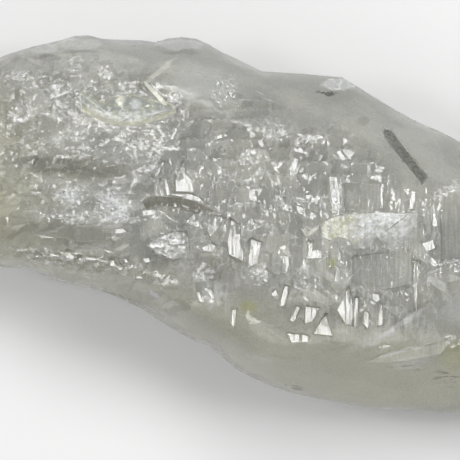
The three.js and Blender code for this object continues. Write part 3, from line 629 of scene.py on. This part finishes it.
def inside_which(group, spots):
    """For each vertex on the upper side, which outline of the group it lies in (-1 for none), and
    how far inside it lies."""
    which = np.full(len(spots), -1)
    depth = np.full(len(spots), -FAR)
    for index, outline in enumerate(group):
        close = np.flatnonzero(close_to(outline, spots) & (spots[:, 2] > UPPER_FROM))
        into = edge_distance(outline, spots[close, :2])
        hit = close[into > -ON_OUTLINE]
        which[hit] = index
        depth[hit] = into[into > -ON_OUTLINE]
    return which, depth


FLAT_WANDER = 0.02
spots = all_spots()
which, depth = inside_which(flat_outlines, spots)
wanted = spots[:, 2].copy()
for index, (slope, _) in enumerate(FLATS):
    middle = flat_outlines[index].mean(0)
    slope = np.array(slope) + chance.uniform(-FLAT_WANDER, FLAT_WANDER, 2)
    here = which == index
    wanted[here] = on_grid(ground, middle[None])[0] + (spots[here, :2] - middle) @ slope
settle(wanted, (which >= 0).astype(float))

spots = all_spots()
for outline, broken in zip(break_outlines, BREAKS.values()):
    which, depth = inside_which([outline], spots)
    here = which == 0
    sunk = np.clip(depth[here] / depth[here].max(), 0, 1)
    spots[here, 2] = (on_grid(ground, spots[here]) - broken["drop"]
                      + (spots[here, :2] - outline.mean(0)) @ np.array(broken["slope"])
                      - broken["scoop"] * (1 - (1 - sunk) ** 2))
settle(spots[:, 2], np.ones(len(spots)))

# Every small face gets a tone of its own, because flaws inside send back more light from some.
shape.normal_update()
shape.faces.ensure_lookup_table()
middles = all_centres()
upward = middles[:, 2] > UPPER_FROM
PLAIN_TONE, FLAT_TONES = 0.5, (0.4, 0.8)
TONED_SHARE = 0.3  # where a crowd's share is less than this, its faces keep the plain tone
DULL = 0.2  # how much of a flat's finish the dull ones have
layers = {"facet_tone": np.full(len(middles), PLAIN_TONE), "flat": np.zeros(len(middles))}


def faces_within(outline):
    """Which of the mesh's faces on the upper side lie inside the outline."""
    here = close_to(outline, middles) & upward
    here[here] = edge_distance(outline, middles[here, :2]) > 0
    return here


for crowd, planted in zip(CROWDS, crowds_planted):
    here = (share_of(crowd, middles[:, 0], middles[:, 1]) > TONED_SHARE) & upward
    labels = stand(planted, middles[here, :2])[1]
    layers["facet_tone"][here] = chance.uniform(0, 1, len(planted["base"]))[labels]
for (slope, _), outline in zip(FLATS, flat_outlines):
    here = faces_within(outline)
    layers["facet_tone"][here] = chance.uniform(*FLAT_TONES)
    layers["flat"][here] = DULL if slope in (LEVEL, SLIGHTLY_BACK) else 1
for name, outline in zip(BREAKS, break_outlines):
    here = faces_within(outline)
    layers["facet_tone"][here] = PLAIN_TONE
    layers[name] = here.astype(float)

# Clusters of minute flats, crumpled like foil: each one's middle, reach and turn. They are strongest
# in their middle, and end where FOIL_EDGE times their reach is passed.
FOIL_EDGE = 1.5
FOIL = [
    ((-46.6, 26.6), (3.6, 1.1), -8), ((-44.2, 25.9), (1.8, 1.4), 0), ((-46, 20.2), (3.4, 1.8), 22),
    ((-39.9, 25), (2.2, 1.1), -20), ((-37, 29), (1.9, 1.5), 30), ((-31.8, 27), (1.7, 1.4), 40),
    ((-34.3, 23.9), (1.8, 0.8), -15), ((-19.4, 22.4), (1.7, 1.4), 0), ((-42, 14.2), (2.6, 1), 5),
    ((-36.6, 12.9), (3, 1.3), -5), ((-26, 14.4), (3, 1.1), 5), ((-20.3, -3.6), (3.8, 2.4), 8),
    ((-30, 3.4), (3.2, 2.6), -20), ((-38, 5.4), (2.4, 1.6), 0), ((-34, 1.3), (8.5, 0.6), -2),
    ((-37, -6.4), (13, 1.6), -8), ((31, -20.8), (2.4, 1.2), -10),
    ((-14.2, -8.6), (1.9, 1.7), 0), ((-22, -9.6), (3.4, 1.1), -12), ((-29.5, -13.5), (4, 1), -20),
    ((-23, 12), (1.2, 3), -20), ((-6, 12), (2.4, 1.5), 10), ((-1.5, 16), (2, 1.2), 5),
    ((4.2, 15), (2.2, 1), 5), ((9.3, 5.2), (1.1, 3.6), 0),
    ((3.5, -10.5), (1.7, 1.4), 0), ((-4.5, -8.6), (2, 2.2), 0), ((29.5, 6.3), (3, 1.1), 25),
]
spots = all_spots()
foil = np.zeros(len(spots))
for (middle_x, middle_y), (long_way, short_way), turn in FOIL:
    turned = complex(math.cos(math.radians(turn)), -math.sin(math.radians(turn)))
    away = ((spots[:, 0] - middle_x) + 1j * (spots[:, 1] - middle_y)) * turned
    foil = np.maximum(foil, FOIL_EDGE - np.hypot(away.real / long_way, away.imag / short_way))
foil *= spots[:, 2] > FLANK_TOP

SHARP_ANGLE = math.radians(2.5)
WORN_SHARP_ANGLE = math.radians(16)
for face in shape.faces:
    face.smooth = True
for edge in shape.edges:
    broken = any(layers["facet_tone"][face.index] != PLAIN_TONE for face in edge.link_faces)
    edge.smooth = edge.calc_face_angle(0) < (SHARP_ANGLE if broken else WORN_SHARP_ANGLE)

crystal_mesh = bpy.data.meshes.new("crystal")
shape.to_mesh(crystal_mesh)
shape.free()
for name, numbers in layers.items():
    crystal_mesh.attributes.new(name, "FLOAT", "FACE").data.foreach_set("value", numbers)
crystal_mesh.attributes.new("foil", "FLOAT", "POINT").data.foreach_set("value", foil)
crystal = bpy.data.objects.new("crystal", crystal_mesh)
bpy.context.scene.collection.objects.link(crystal)
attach(crystal, "root")
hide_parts("quartz_crystal")

# ---- The quartz --------------------------------------------------------------
# Milky see-through quartz. Fine growth lines run across its faces, the broken parts glitter with
# minute flats, discoloured and frosted parts lie in the chips, the hollows carry painted shade, and
# the foil clusters carry painted glitter as well.
quartz = bpy.data.materials.new("milky_quartz")
quartz.use_nodes = True
glassy = quartz.node_tree.nodes["Principled BSDF"]
glassy.inputs["IOR"].default_value = 1.544
glassy.inputs["Transmission Weight"].default_value = 0.5
glassy.inputs["Subsurface Weight"].default_value = 1.0
glassy.inputs["Subsurface Radius"].default_value = (1, 1, 0.85)
glassy.inputs["Subsurface Scale"].default_value = 9 * MM


class Value:
    """What varies over the quartz, as a socket that Python's own arithmetic works on."""

    def __init__(self, socket):
        self.socket = socket

    @staticmethod
    def node(kind, settings, inputs, output=0):
        made = quartz.node_tree.nodes.new("ShaderNode" + kind)
        for name, setting in settings.items():
            setattr(made, name, setting)
        for name, given in inputs.items():
            if isinstance(given, Value):
                quartz.node_tree.links.new(given.socket, made.inputs[name])
            else:
                made.inputs[name].default_value = given
        return Value(made.outputs[output])

    def maths(self, operation, other):
        return Value.node("Math", {"operation": operation}, {0: self, 1: other})

    def __add__(self, other):
        return self.maths("ADD", other)

    def __sub__(self, other):
        return self.maths("SUBTRACT", other)

    def __rsub__(self, other):
        return Value.node("Math", {"operation": "SUBTRACT"}, {0: other, 1: self})

    def __mul__(self, other):
        return self.maths("MULTIPLY", other)

    def __pow__(self, other):
        return self.maths("POWER", other)

    __radd__ = __add__
    __rmul__ = __mul__


def vector(operation, *inputs):
    return Value.node("VectorMath", {"operation": operation}, dict(enumerate(inputs)))


def scaled(direction, size):
    return Value.node("VectorMath", {"operation": "SCALE"}, {0: direction, "Scale": size})


def dot(first, second):
    return Value.node("VectorMath", {"operation": "DOT_PRODUCT"}, {0: first, 1: second}, "Value")


def ramp(value, low, high):
    """0 below low and 1 above high, with a smooth rise between."""
    return Value.node("MapRange", {"interpolation_type": "SMOOTHSTEP", "clamp": False}, {
        "Value": value, "From Min": low, "From Max": high})


MIX_FIRST, MIX_SECOND, MIX_RESULT = 6, 7, 2  # the Mix node's sockets for colours


def blend(under, over, share):
    return Value.node("Mix", {"data_type": "RGBA"}, {
        "Factor": share, MIX_FIRST: under, MIX_SECOND: over}, MIX_RESULT)


def layer(name):
    """A number that the mesh carries for each of its faces or corners."""
    return Value.node("Attribute", {"attribute_name": name}, {}, "Fac")


place = scaled(Value.node("TexCoord", {}, {}, "Object"), 1 / MM)  # millimetres from here on
facing = Value.node("NewGeometry", {}, {}, "Normal")
x, y, z = (Value.node("SeparateXYZ", {}, {0: place}, axis) for axis in range(3))
upper = ramp(z, 12, 16)  # 0 on the flanks and underneath


def noise(size, detail=3, stretch=(1, 1, 1), output="Fac"):
    """Soft noise with lumps of about this size, in millimetres, once stretched."""
    return Value.node("TexNoise", {}, {
        "Vector": vector("MULTIPLY", place, stretch), "Scale": 1 / size, "Detail": detail}, output)


def wandering(size, reach):
    """The place, moved to and fro by up to half of reach, so that no edge is too regular."""
    shift = vector("SUBTRACT", noise(size, output="Color"), (0.5, 0.5, 0.5))
    return vector("ADD", place, scaled(shift, reach))


ragged = wandering(2.5, 1.6)
wavy = wandering(1.3, 2.4)


def patch(at, reach, turn=0, rim=0.5, where=ragged):
    """1 inside an ellipse on the upper side, fading to 0 over its rim."""
    cosine, sine = math.cos(math.radians(turn)), math.sin(math.radians(turn))
    off = vector("SUBTRACT", where, (*at, 0))
    along = dot(off, (cosine / reach[0], sine / reach[0], 0))
    across = dot(off, (-sine / reach[1], cosine / reach[1], 0))
    away = (along * along + across * across) ** 0.5
    return (1 - ramp(away, 1 - rim, 1 + rim * 0.4)) * upper


def laid_patches(colour, patches):
    """Lays patches over the colour: discolourings and frost, and painted light and shade. Each has a
    colour, a middle, a reach, a turn, a rim, a strength and, if it isn't as ragged as the rest, the
    place that it is measured in."""
    for tint, at, reach, turn, rim, strength, *where in patches:
        colour = blend(colour, tint, patch(at, reach, turn, rim, *where) * strength)
    return colour


def flats(size, stretch=(1, 1, 1), where=place):
    """A tilt from -1 to 1 along each axis, the same all over each minute flat."""
    cell = Value.node("TexVoronoi", {}, {
        "Vector": vector("MULTIPLY", where, stretch), "Scale": 1 / size}, "Color")
    return vector("MULTIPLY_ADD", cell, (2, 2, 2), (-1, -1, -1))


def flaw_lines(size, stretch, where, width):
    """Thin wandering lines, where flaws reach the surface."""
    cell = Value.node("TexVoronoi", {"feature": "DISTANCE_TO_EDGE"}, {
        "Vector": vector("MULTIPLY", where, stretch), "Scale": 1 / size}, "Distance")
    return 1 - ramp(cell, width * 0.3, width)


# Where the minute flats and the growth lines are.
left_chips = patch((-42, 18), (26, 13))
band_chips = patch((-36, 3.5), (12, 5))
middle_chips = patch((-12, 3), (16, 13))
lined = patch((15, -6), (18, 16))
point_lines = patch((28, 0), (7, 9))
root_chips = left_chips + band_chips
foil = ramp(layer("foil") + (noise(1.5) - 0.5) * 1.6, 0.35, 0.75)
flat, plate, slot = layer("flat"), layer("plate"), layer("slot")

# Colour: grey-white milk, cloudy, warmer where it is discoloured, frosted in places, and darker in others,
# partly as painted shade in the hollows.
MILK = (0.405, 0.408, 0.378, 1)
PALE = (0.49, 0.493, 0.45, 1)
WARM = (0.495, 0.485, 0.375, 1)
# Painted shade in the pit, under the lumps and over broad areas, and a darker tone in other patches.
SHADE_AND_DARK_TONE = (0.27, 0.262, 0.22, 1)
# Frost, and also the painted light on the tops of the lumps along the back edge.
FROST_AND_PAINTED_LIGHT = (0.84, 0.86, 0.86, 1)
PALE_LINE_AND_GLINT = (0.97, 0.98, 0.98, 1)
CREAM = (0.88, 0.88, 0.77, 1)
RIM = (0.68, 0.68, 0.54, 1)
CLEAR_BLUE = (0.44, 0.465, 0.44, 1)
OLIVE = (0.42, 0.43, 0.20, 1)
# Dark specks and cracks, and the painted shade in the slot.
DARK_SPECK_AND_SHADE = (0.06, 0.06, 0.05, 1)
colour = blend(MILK, PALE, ramp(noise(7, 4), 0.42, 0.62))
colour = laid_patches(colour, [
    (WARM, (-20, -26), (46, 16), 0, 0.8, 0.6), (WARM, (-54, 5), (14, 24), 0, 0.8, 0.8),
    (WARM, (22, -28), (26, 9), 0, 0.7, 0.8)])
colour = blend(colour, FROST_AND_PAINTED_LIGHT, root_chips * 0.2 * ramp(noise(2.4, 5), 0.48, 0.66))
# Painted shade: the long hollow at the root is darkened where a ledge's shadow lies.
pit_shade = patch((-37.5, 10.2), (10.5, 2.3), turn=-6)
colour = blend(colour, SHADE_AND_DARK_TONE, pit_shade * 0.9)
colour = laid_patches(colour, [
    (FROST_AND_PAINTED_LIGHT, (-30, 3.4), (3.2, 2.6), -20, 0.7, 0.6), (FROST_AND_PAINTED_LIGHT, (-38, 5.6), (2.2, 1.4), 0, 0.7, 0.5),
    (SHADE_AND_DARK_TONE, (-10.6, -2.2), (1.1, 3), 0, 0.5, 0.35), (SHADE_AND_DARK_TONE, (-10.5, -6.6), (4.2, 1.2), 0, 0.5, 0.3),
    (CREAM, (-22, 27.4), (4.4, 0.6), 42, 0.5, 0.45), (SHADE_AND_DARK_TONE, (-40, -1.5), (13, 2.6), -4, 0.5, 0.6),
    (SHADE_AND_DARK_TONE, (-19, 3.6), (6, 1.2), -8, 0.5, 0.7), (SHADE_AND_DARK_TONE, (-12, -7.5), (4, 3), 0, 0.5, 0.35),
    (FROST_AND_PAINTED_LIGHT, (-13, 25), (7, 4.5), -15, 0.8, 0.25)])
crumbled = (
    patch((-10.5, 24), (3.4, 4), turn=-15, rim=0.7) + patch((-1.8, 17.2), (4, 2.4), turn=-20, rim=0.7)
    + patch((9.5, 17.5), (3.4, 1.8), rim=0.8) * 0.6 + patch((-0.5, 4.2), (2, 1.6), rim=0.6) * 0.8
    + patch((2.2, 9.9), (1.2, 1.9), turn=-30, rim=0.6) + patch((-6, 7.6), (2, 0.7), rim=0.6))
colour = blend(colour, FROST_AND_PAINTED_LIGHT, crumbled * ramp(noise(0.9), 0.46, 0.6) * 0.3)
# Pale veins, then painted shade: two broad darker patches over the upper back and the middle.
colour = laid_patches(colour, [
    (FROST_AND_PAINTED_LIGHT, (-4, 23.7), (1.3, 0.12), -28, 0.5, 0.6), (FROST_AND_PAINTED_LIGHT, (-2.6, 22.4), (1.6, 0.1), -24, 0.5, 0.6),
    (FROST_AND_PAINTED_LIGHT, (-6.5, 22.2), (1.2, 0.12), 5, 0.5, 0.6),
    (SHADE_AND_DARK_TONE, (2, 21), (24, 9), 0, 0.8, 0.14), (SHADE_AND_DARK_TONE, (-8, 5), (14, 9), 0, 0.8, 0.12)])
# Darker over the whole root.
colour = blend(colour, SHADE_AND_DARK_TONE, left_chips * 0.12)
colour = laid_patches(colour, [
    (WARM, (-38, -9), (24, 6), -12, 0.8, 0.5),
    (SHADE_AND_DARK_TONE, (27, -23.5), (7, 2), 14, 0.7, 0.3), (SHADE_AND_DARK_TONE, (12, -27), (12, 2.2), -8, 0.8, 0.15),
    (FROST_AND_PAINTED_LIGHT, (16, -20.5), (7, 1), 28, 0.8, 0.25), (FROST_AND_PAINTED_LIGHT, (31, -15), (4, 3), 0, 0.8, 0.2),
    (FROST_AND_PAINTED_LIGHT, (21.5, -22.5), (5.5, 0.4), 15, 0.5, 0.5), (FROST_AND_PAINTED_LIGHT, (23, -24.8), (4, 1.2), 8, 0.8, 0.3),
    (SHADE_AND_DARK_TONE, (22, -16), (6, 0.4), 33, 0.5, 0.4), (FROST_AND_PAINTED_LIGHT, (-23, -12.6), (1.1, 0.5), -25, 0.5, 0.8),
    (FROST_AND_PAINTED_LIGHT, (-36, -8.4), (6, 1), -12, 0.8, ramp(noise(1.2, 3, (1, 0.5, 1)), 0.5, 0.62) * 0.5),
    (FROST_AND_PAINTED_LIGHT, (21.5, -17.4), (5.5, 0.6), 33, 0.5, 0.3),
    (FROST_AND_PAINTED_LIGHT, (-12, -12), (4, 3), -40, 0.7, ramp(noise(1.4, 3, (1, 0.3, 0.6)), 0.46, 0.6) * 0.4)])

# Thin pale lines: wandering at the root, straighter and upright on the rest of the upper face. On the
# foil clusters the pale crinkles are painted glitter. The lumps along the back edge are only painted:
# a lighter patch for each one's lit top and a painted shadow line below it.
gaps = ramp(noise(1.8), 0.46, 0.56)
crinkles = ramp(noise(0.9, 3, (1, 0.5, 0.6)), 0.55, 0.63) + ramp(noise(1.0, 3, (0.4, 1, 0.6)), 0.56, 0.64)
# Painted glitter: pale crinkles on the foil clusters stand in for their sparkle; across the root they are
# fainter pale lines.
colour = blend(colour, PALE_LINE_AND_GLINT, crinkles * (foil * 0.35 + root_chips * gaps * 0.2))
# Painted light and shade: a lighter patch for each lump's lit top, a dark shadow line below it.
for at, reach in [((-43, 31.8), (2.6, 1.2)), ((-36.3, 32.7), (3.9, 1.2)), ((-18.3, 32.5), (4, 1.1))]:
    colour = laid_patches(colour, [
        (FROST_AND_PAINTED_LIGHT, at, reach, 0, 0.2, 0.3), (SHADE_AND_DARK_TONE, (at[0], at[1] - 1.5), (reach[0], 0.35), 0, 0.5, 0.6)])
upright = flaw_lines(1.6, (1, 0.45, 0.6), ragged, 0.05) * gaps * gaps
colour = blend(colour, PALE_LINE_AND_GLINT, upright * (middle_chips + lined) * 0.3)

# The large shell chip near the root: clear planes, a cream rim below, a cream blade.
radiating = ramp(noise(0.7, 2, (0.5, 1, 1)), 0.4, 0.62)
colour = blend(colour, RIM, layer("lens") * (0.4 + radiating * 0.5))
colour = blend(colour, CLEAR_BLUE, layer("lens_clear") * (0.9 - radiating * 0.5))
colour = laid_patches(colour, [(FROST_AND_PAINTED_LIGHT, *line, 0.6, 0.8, place) for line in [
    ((-33.6, 21.6), (3.3, 0.14), -36), ((-32.8, 21), (2.6, 0.1), -35), ((-33, 21.6), (1.1, 0.08), -44),
    ((-36, 21.8), (1.8, 0.14), -84), ((-22.8, 19.9), (3, 0.12), 14), ((-22.2, 23.8), (1.8, 0.13), -44)]])
colour = blend(colour, CREAM, layer("blade") * 0.9)
colour = laid_patches(colour, [
    (CREAM, (-29.1, 22.1), (1.1, 0.9), 0, 0.5, 0.85), (FROST_AND_PAINTED_LIGHT, (-26.3, 21.4), (1, 1.1), 0, 0.5, 0.75)])
colour = blend(colour, SHADE_AND_DARK_TONE, layer("bird") * 0.9)

# The plate of a second, smaller growth: cream at its left and below, bluish white at its right,
# where it thins out, with a dark crack. A white crack and a pale nick lie nearer to the point.
streaks = ramp(noise(0.9), 0.35, 0.65)
warm_part = 1 - ramp(x + noise(3) * 4, 13, 17)
colour = blend(colour, CREAM, (plate * warm_part + layer("plate_tail")) * (0.35 + streaks * 0.6))
thin_part = ramp(x, 19.5, 23.5) * 0.7
thin_part = thin_part + (1 - thin_part) * (1 - ramp(y, -2.6, -1.8)) * 0.6
colour = blend(colour, FROST_AND_PAINTED_LIGHT, plate * (1 - warm_part) * (1 - thin_part) * (0.3 + streaks * 0.6))
colour = blend(colour, OLIVE, plate * warm_part * ramp(noise(1.4, 4), 0.54, 0.66) * 0.5)
colour = laid_patches(colour, [
    (DARK_SPECK_AND_SHADE, (20.2, 0.4), (2.6, 0.13), 38, 0.5, 0.6, place),
    (FROST_AND_PAINTED_LIGHT, (29.5, -6.5), (3.2, 0.14), 3, 0.5, 0.7, wavy),
    (DARK_SPECK_AND_SHADE, (29.8, -7.1), (2.8, 0.12), 2, 0.5, 0.4, wavy),
    (FROST_AND_PAINTED_LIGHT, (26.9, -8.3), (1.8, 0.25), 25, 0.5, 0.5)])

# Olive spots, pale chips, specks, and the open slot, darkened with painted shade.
chipped = 0.5 + streaks * 0.4
dashes = ramp(noise(0.7, 2, (0.3, 1, 1)), 0.5, 0.6)
colour = laid_patches(colour, [
    (OLIVE, (-6.3, -14.6), (1.6, 1.2), 0, 0.8, 0.7), (OLIVE, (8.6, -6.8), (1.1, 0.9), 0, 0.8, 0.7),
    (CREAM, (-5.5, -16.5), (1.4, 0.45), -28, 0.3, chipped),
    (CREAM, (-5, -17.1), (1.1, 0.4), 12, 0.3, chipped),
    (CREAM, (-6.2, -16.1), (0.4, 0.9), 10, 0.3, chipped),
    (FROST_AND_PAINTED_LIGHT, (10.4, 25.5), (3.6, 1.1), 0, 0.3, 0.5 + crinkles * 0.5),
    (SHADE_AND_DARK_TONE, (14.3, 18.6), (1.2, 0.9), 0, 0.5, 0.5), (OLIVE, (30.5, -23.5), (2.6, 3.6), 0, 0.8, 0.4),
    (DARK_SPECK_AND_SHADE, (8.1, 23.7), (2.2, 0.6), 0, 0.5, ramp(noise(0.7), 0.42, 0.5) * 0.85),
    (DARK_SPECK_AND_SHADE, (2.2, -29.3), (1.8, 0.5), -15, 0.5, dashes * 0.9),
    (DARK_SPECK_AND_SHADE, (29.5, -27.6), (3, 1.8), 0, 0.8, dashes * 0.5),
    (DARK_SPECK_AND_SHADE, (22.5, -25.4), (4.4, 0.9), 0, 0.8, dashes * 0.4)])
# Painted shade: the slot's recess is darkened.
colour = blend(colour, DARK_SPECK_AND_SHADE, slot * (0.35 + ramp(noise(0.5, 2), 0.4, 0.6) * 0.4))

# Each small face has a tone of its own, crossed by fine growth lines and speckled. Broad planes about
# 8 mm across get painted shade, each a little lighter or darker.
planes = Value.node("SeparateXYZ", {}, {0: flats(8, (0.7, 1, 0.7), ragged)})
shade = 0.84 + layer("facet_tone") * 0.3 + planes * 0.035
fine_lines = noise(0.45, 2, (1, 0.07, 0.2)) - 0.5
line_shade = 1 + fine_lines * (lined * 0.4 + flat * 0.5 + 0.08)
speckle = 1 + (noise(0.4, 1) - 0.5) * 0.35
colour = scaled(colour, shade * line_shade * speckle)
quartz.node_tree.links.new(colour.socket, glassy.inputs["Base Color"])

# Relief too fine to model: growth lines, minute flats in clusters, and streaks on the larger flats.
# Each is a tilt to add to the way that the surface faces.
clusters = ramp(noise(2.6, 2), 0.48, 0.6)
lines = vector("MULTIPLY", flats(0.42, (1, 0.07, 0.2)), (0.16, 0.03, 0))
lines = scaled(lines, (lined * 0.8 + point_lines) * (1 - flat * 0.8) + flat * 0.25 + 0.1)
stroke_clusters = ramp(noise(2.2, 2), 0.45, 0.54) * (middle_chips + lined * 0.8 + point_lines)
stroke_clusters = stroke_clusters * (1 - flat) * (1 - plate) * (1 - ramp(y, 8, 13) * 0.5)
strokes = scaled(vector("MULTIPLY", flats(0.4, (1, 0.16, 0.3)), (0.38, 0.07, 0)), stroke_clusters)
crumbs = scaled(flats(0.6, where=wavy), (root_chips + middle_chips) * clusters * 0.12)
shards = vector("MULTIPLY", flats(0.8, (1, 0.35, 0.5)), (1, 0.6, 0))
shards = scaled(shards, middle_chips * clusters * 0.3)
streaked = scaled((0.13, 0, 0), ramp(noise(0.28, 2, (1, 0.05, 0.2)), 0.49, 0.57) * flat)
tilted = facing
for tilt in (lines, strokes, crumbs, shards, streaked):
    tilted = vector("ADD", tilted, tilt)

# The glitter of foil-like clusters: minute flats that lean back, towards the brightest light.
glints = vector("ADD", (-0.02, 0.3, 1), scaled(flats(0.42, (1, 0.55, 0.6), wavy), 0.15))
glint_share = (foil * ramp(noise(0.8), 0.44, 0.52) + plate * ramp(noise(0.8), 0.53, 0.58) * 0.5
               + root_chips * ramp(noise(0.9), 0.575, 0.61))
glint_share = glint_share * (1 - pit_shade * 0.8) + crumbled * ramp(noise(0.6, 2), 0.55, 0.59)
tilted = vector("ADD", tilted, scaled(vector("SUBTRACT", glints, tilted), glint_share))
tilted = vector("NORMALIZE", tilted)

# Ripples of broken glass, nearly none on the flats.
ripples = noise(1.1, 2, (1, 1.5, 1)) * 0.6 + noise(1.4, 4) * 0.3
rippled = (foil * 0.4 + plate * 0.6 + left_chips * 0.2 + band_chips * 0.25 + 0.2) * (1 - flat * 0.85)
relief = Value.node("Bump", {}, {
    "Strength": rippled, "Distance": 0.45 * MM, "Height": ripples, "Normal": tilted})
quartz.node_tree.links.new(relief.socket, glassy.inputs["Normal"])

# Gloss: glassy flats, frosted where the surface is worn.
frosted = patch((-14, 23), (10, 4.5), turn=-32, rim=0.8)
roughness = 0.07 + ramp(noise(3, 4), 0.5, 0.75) * 0.1 + slot * 0.4 + plate * 0.15 + layer("lens") * 0.15
roughness = roughness + frosted * (1 - glint_share) * 0.35
quartz.node_tree.links.new(roughness.socket, glassy.inputs["Roughness"])
crystal_mesh.materials.append(quartz)
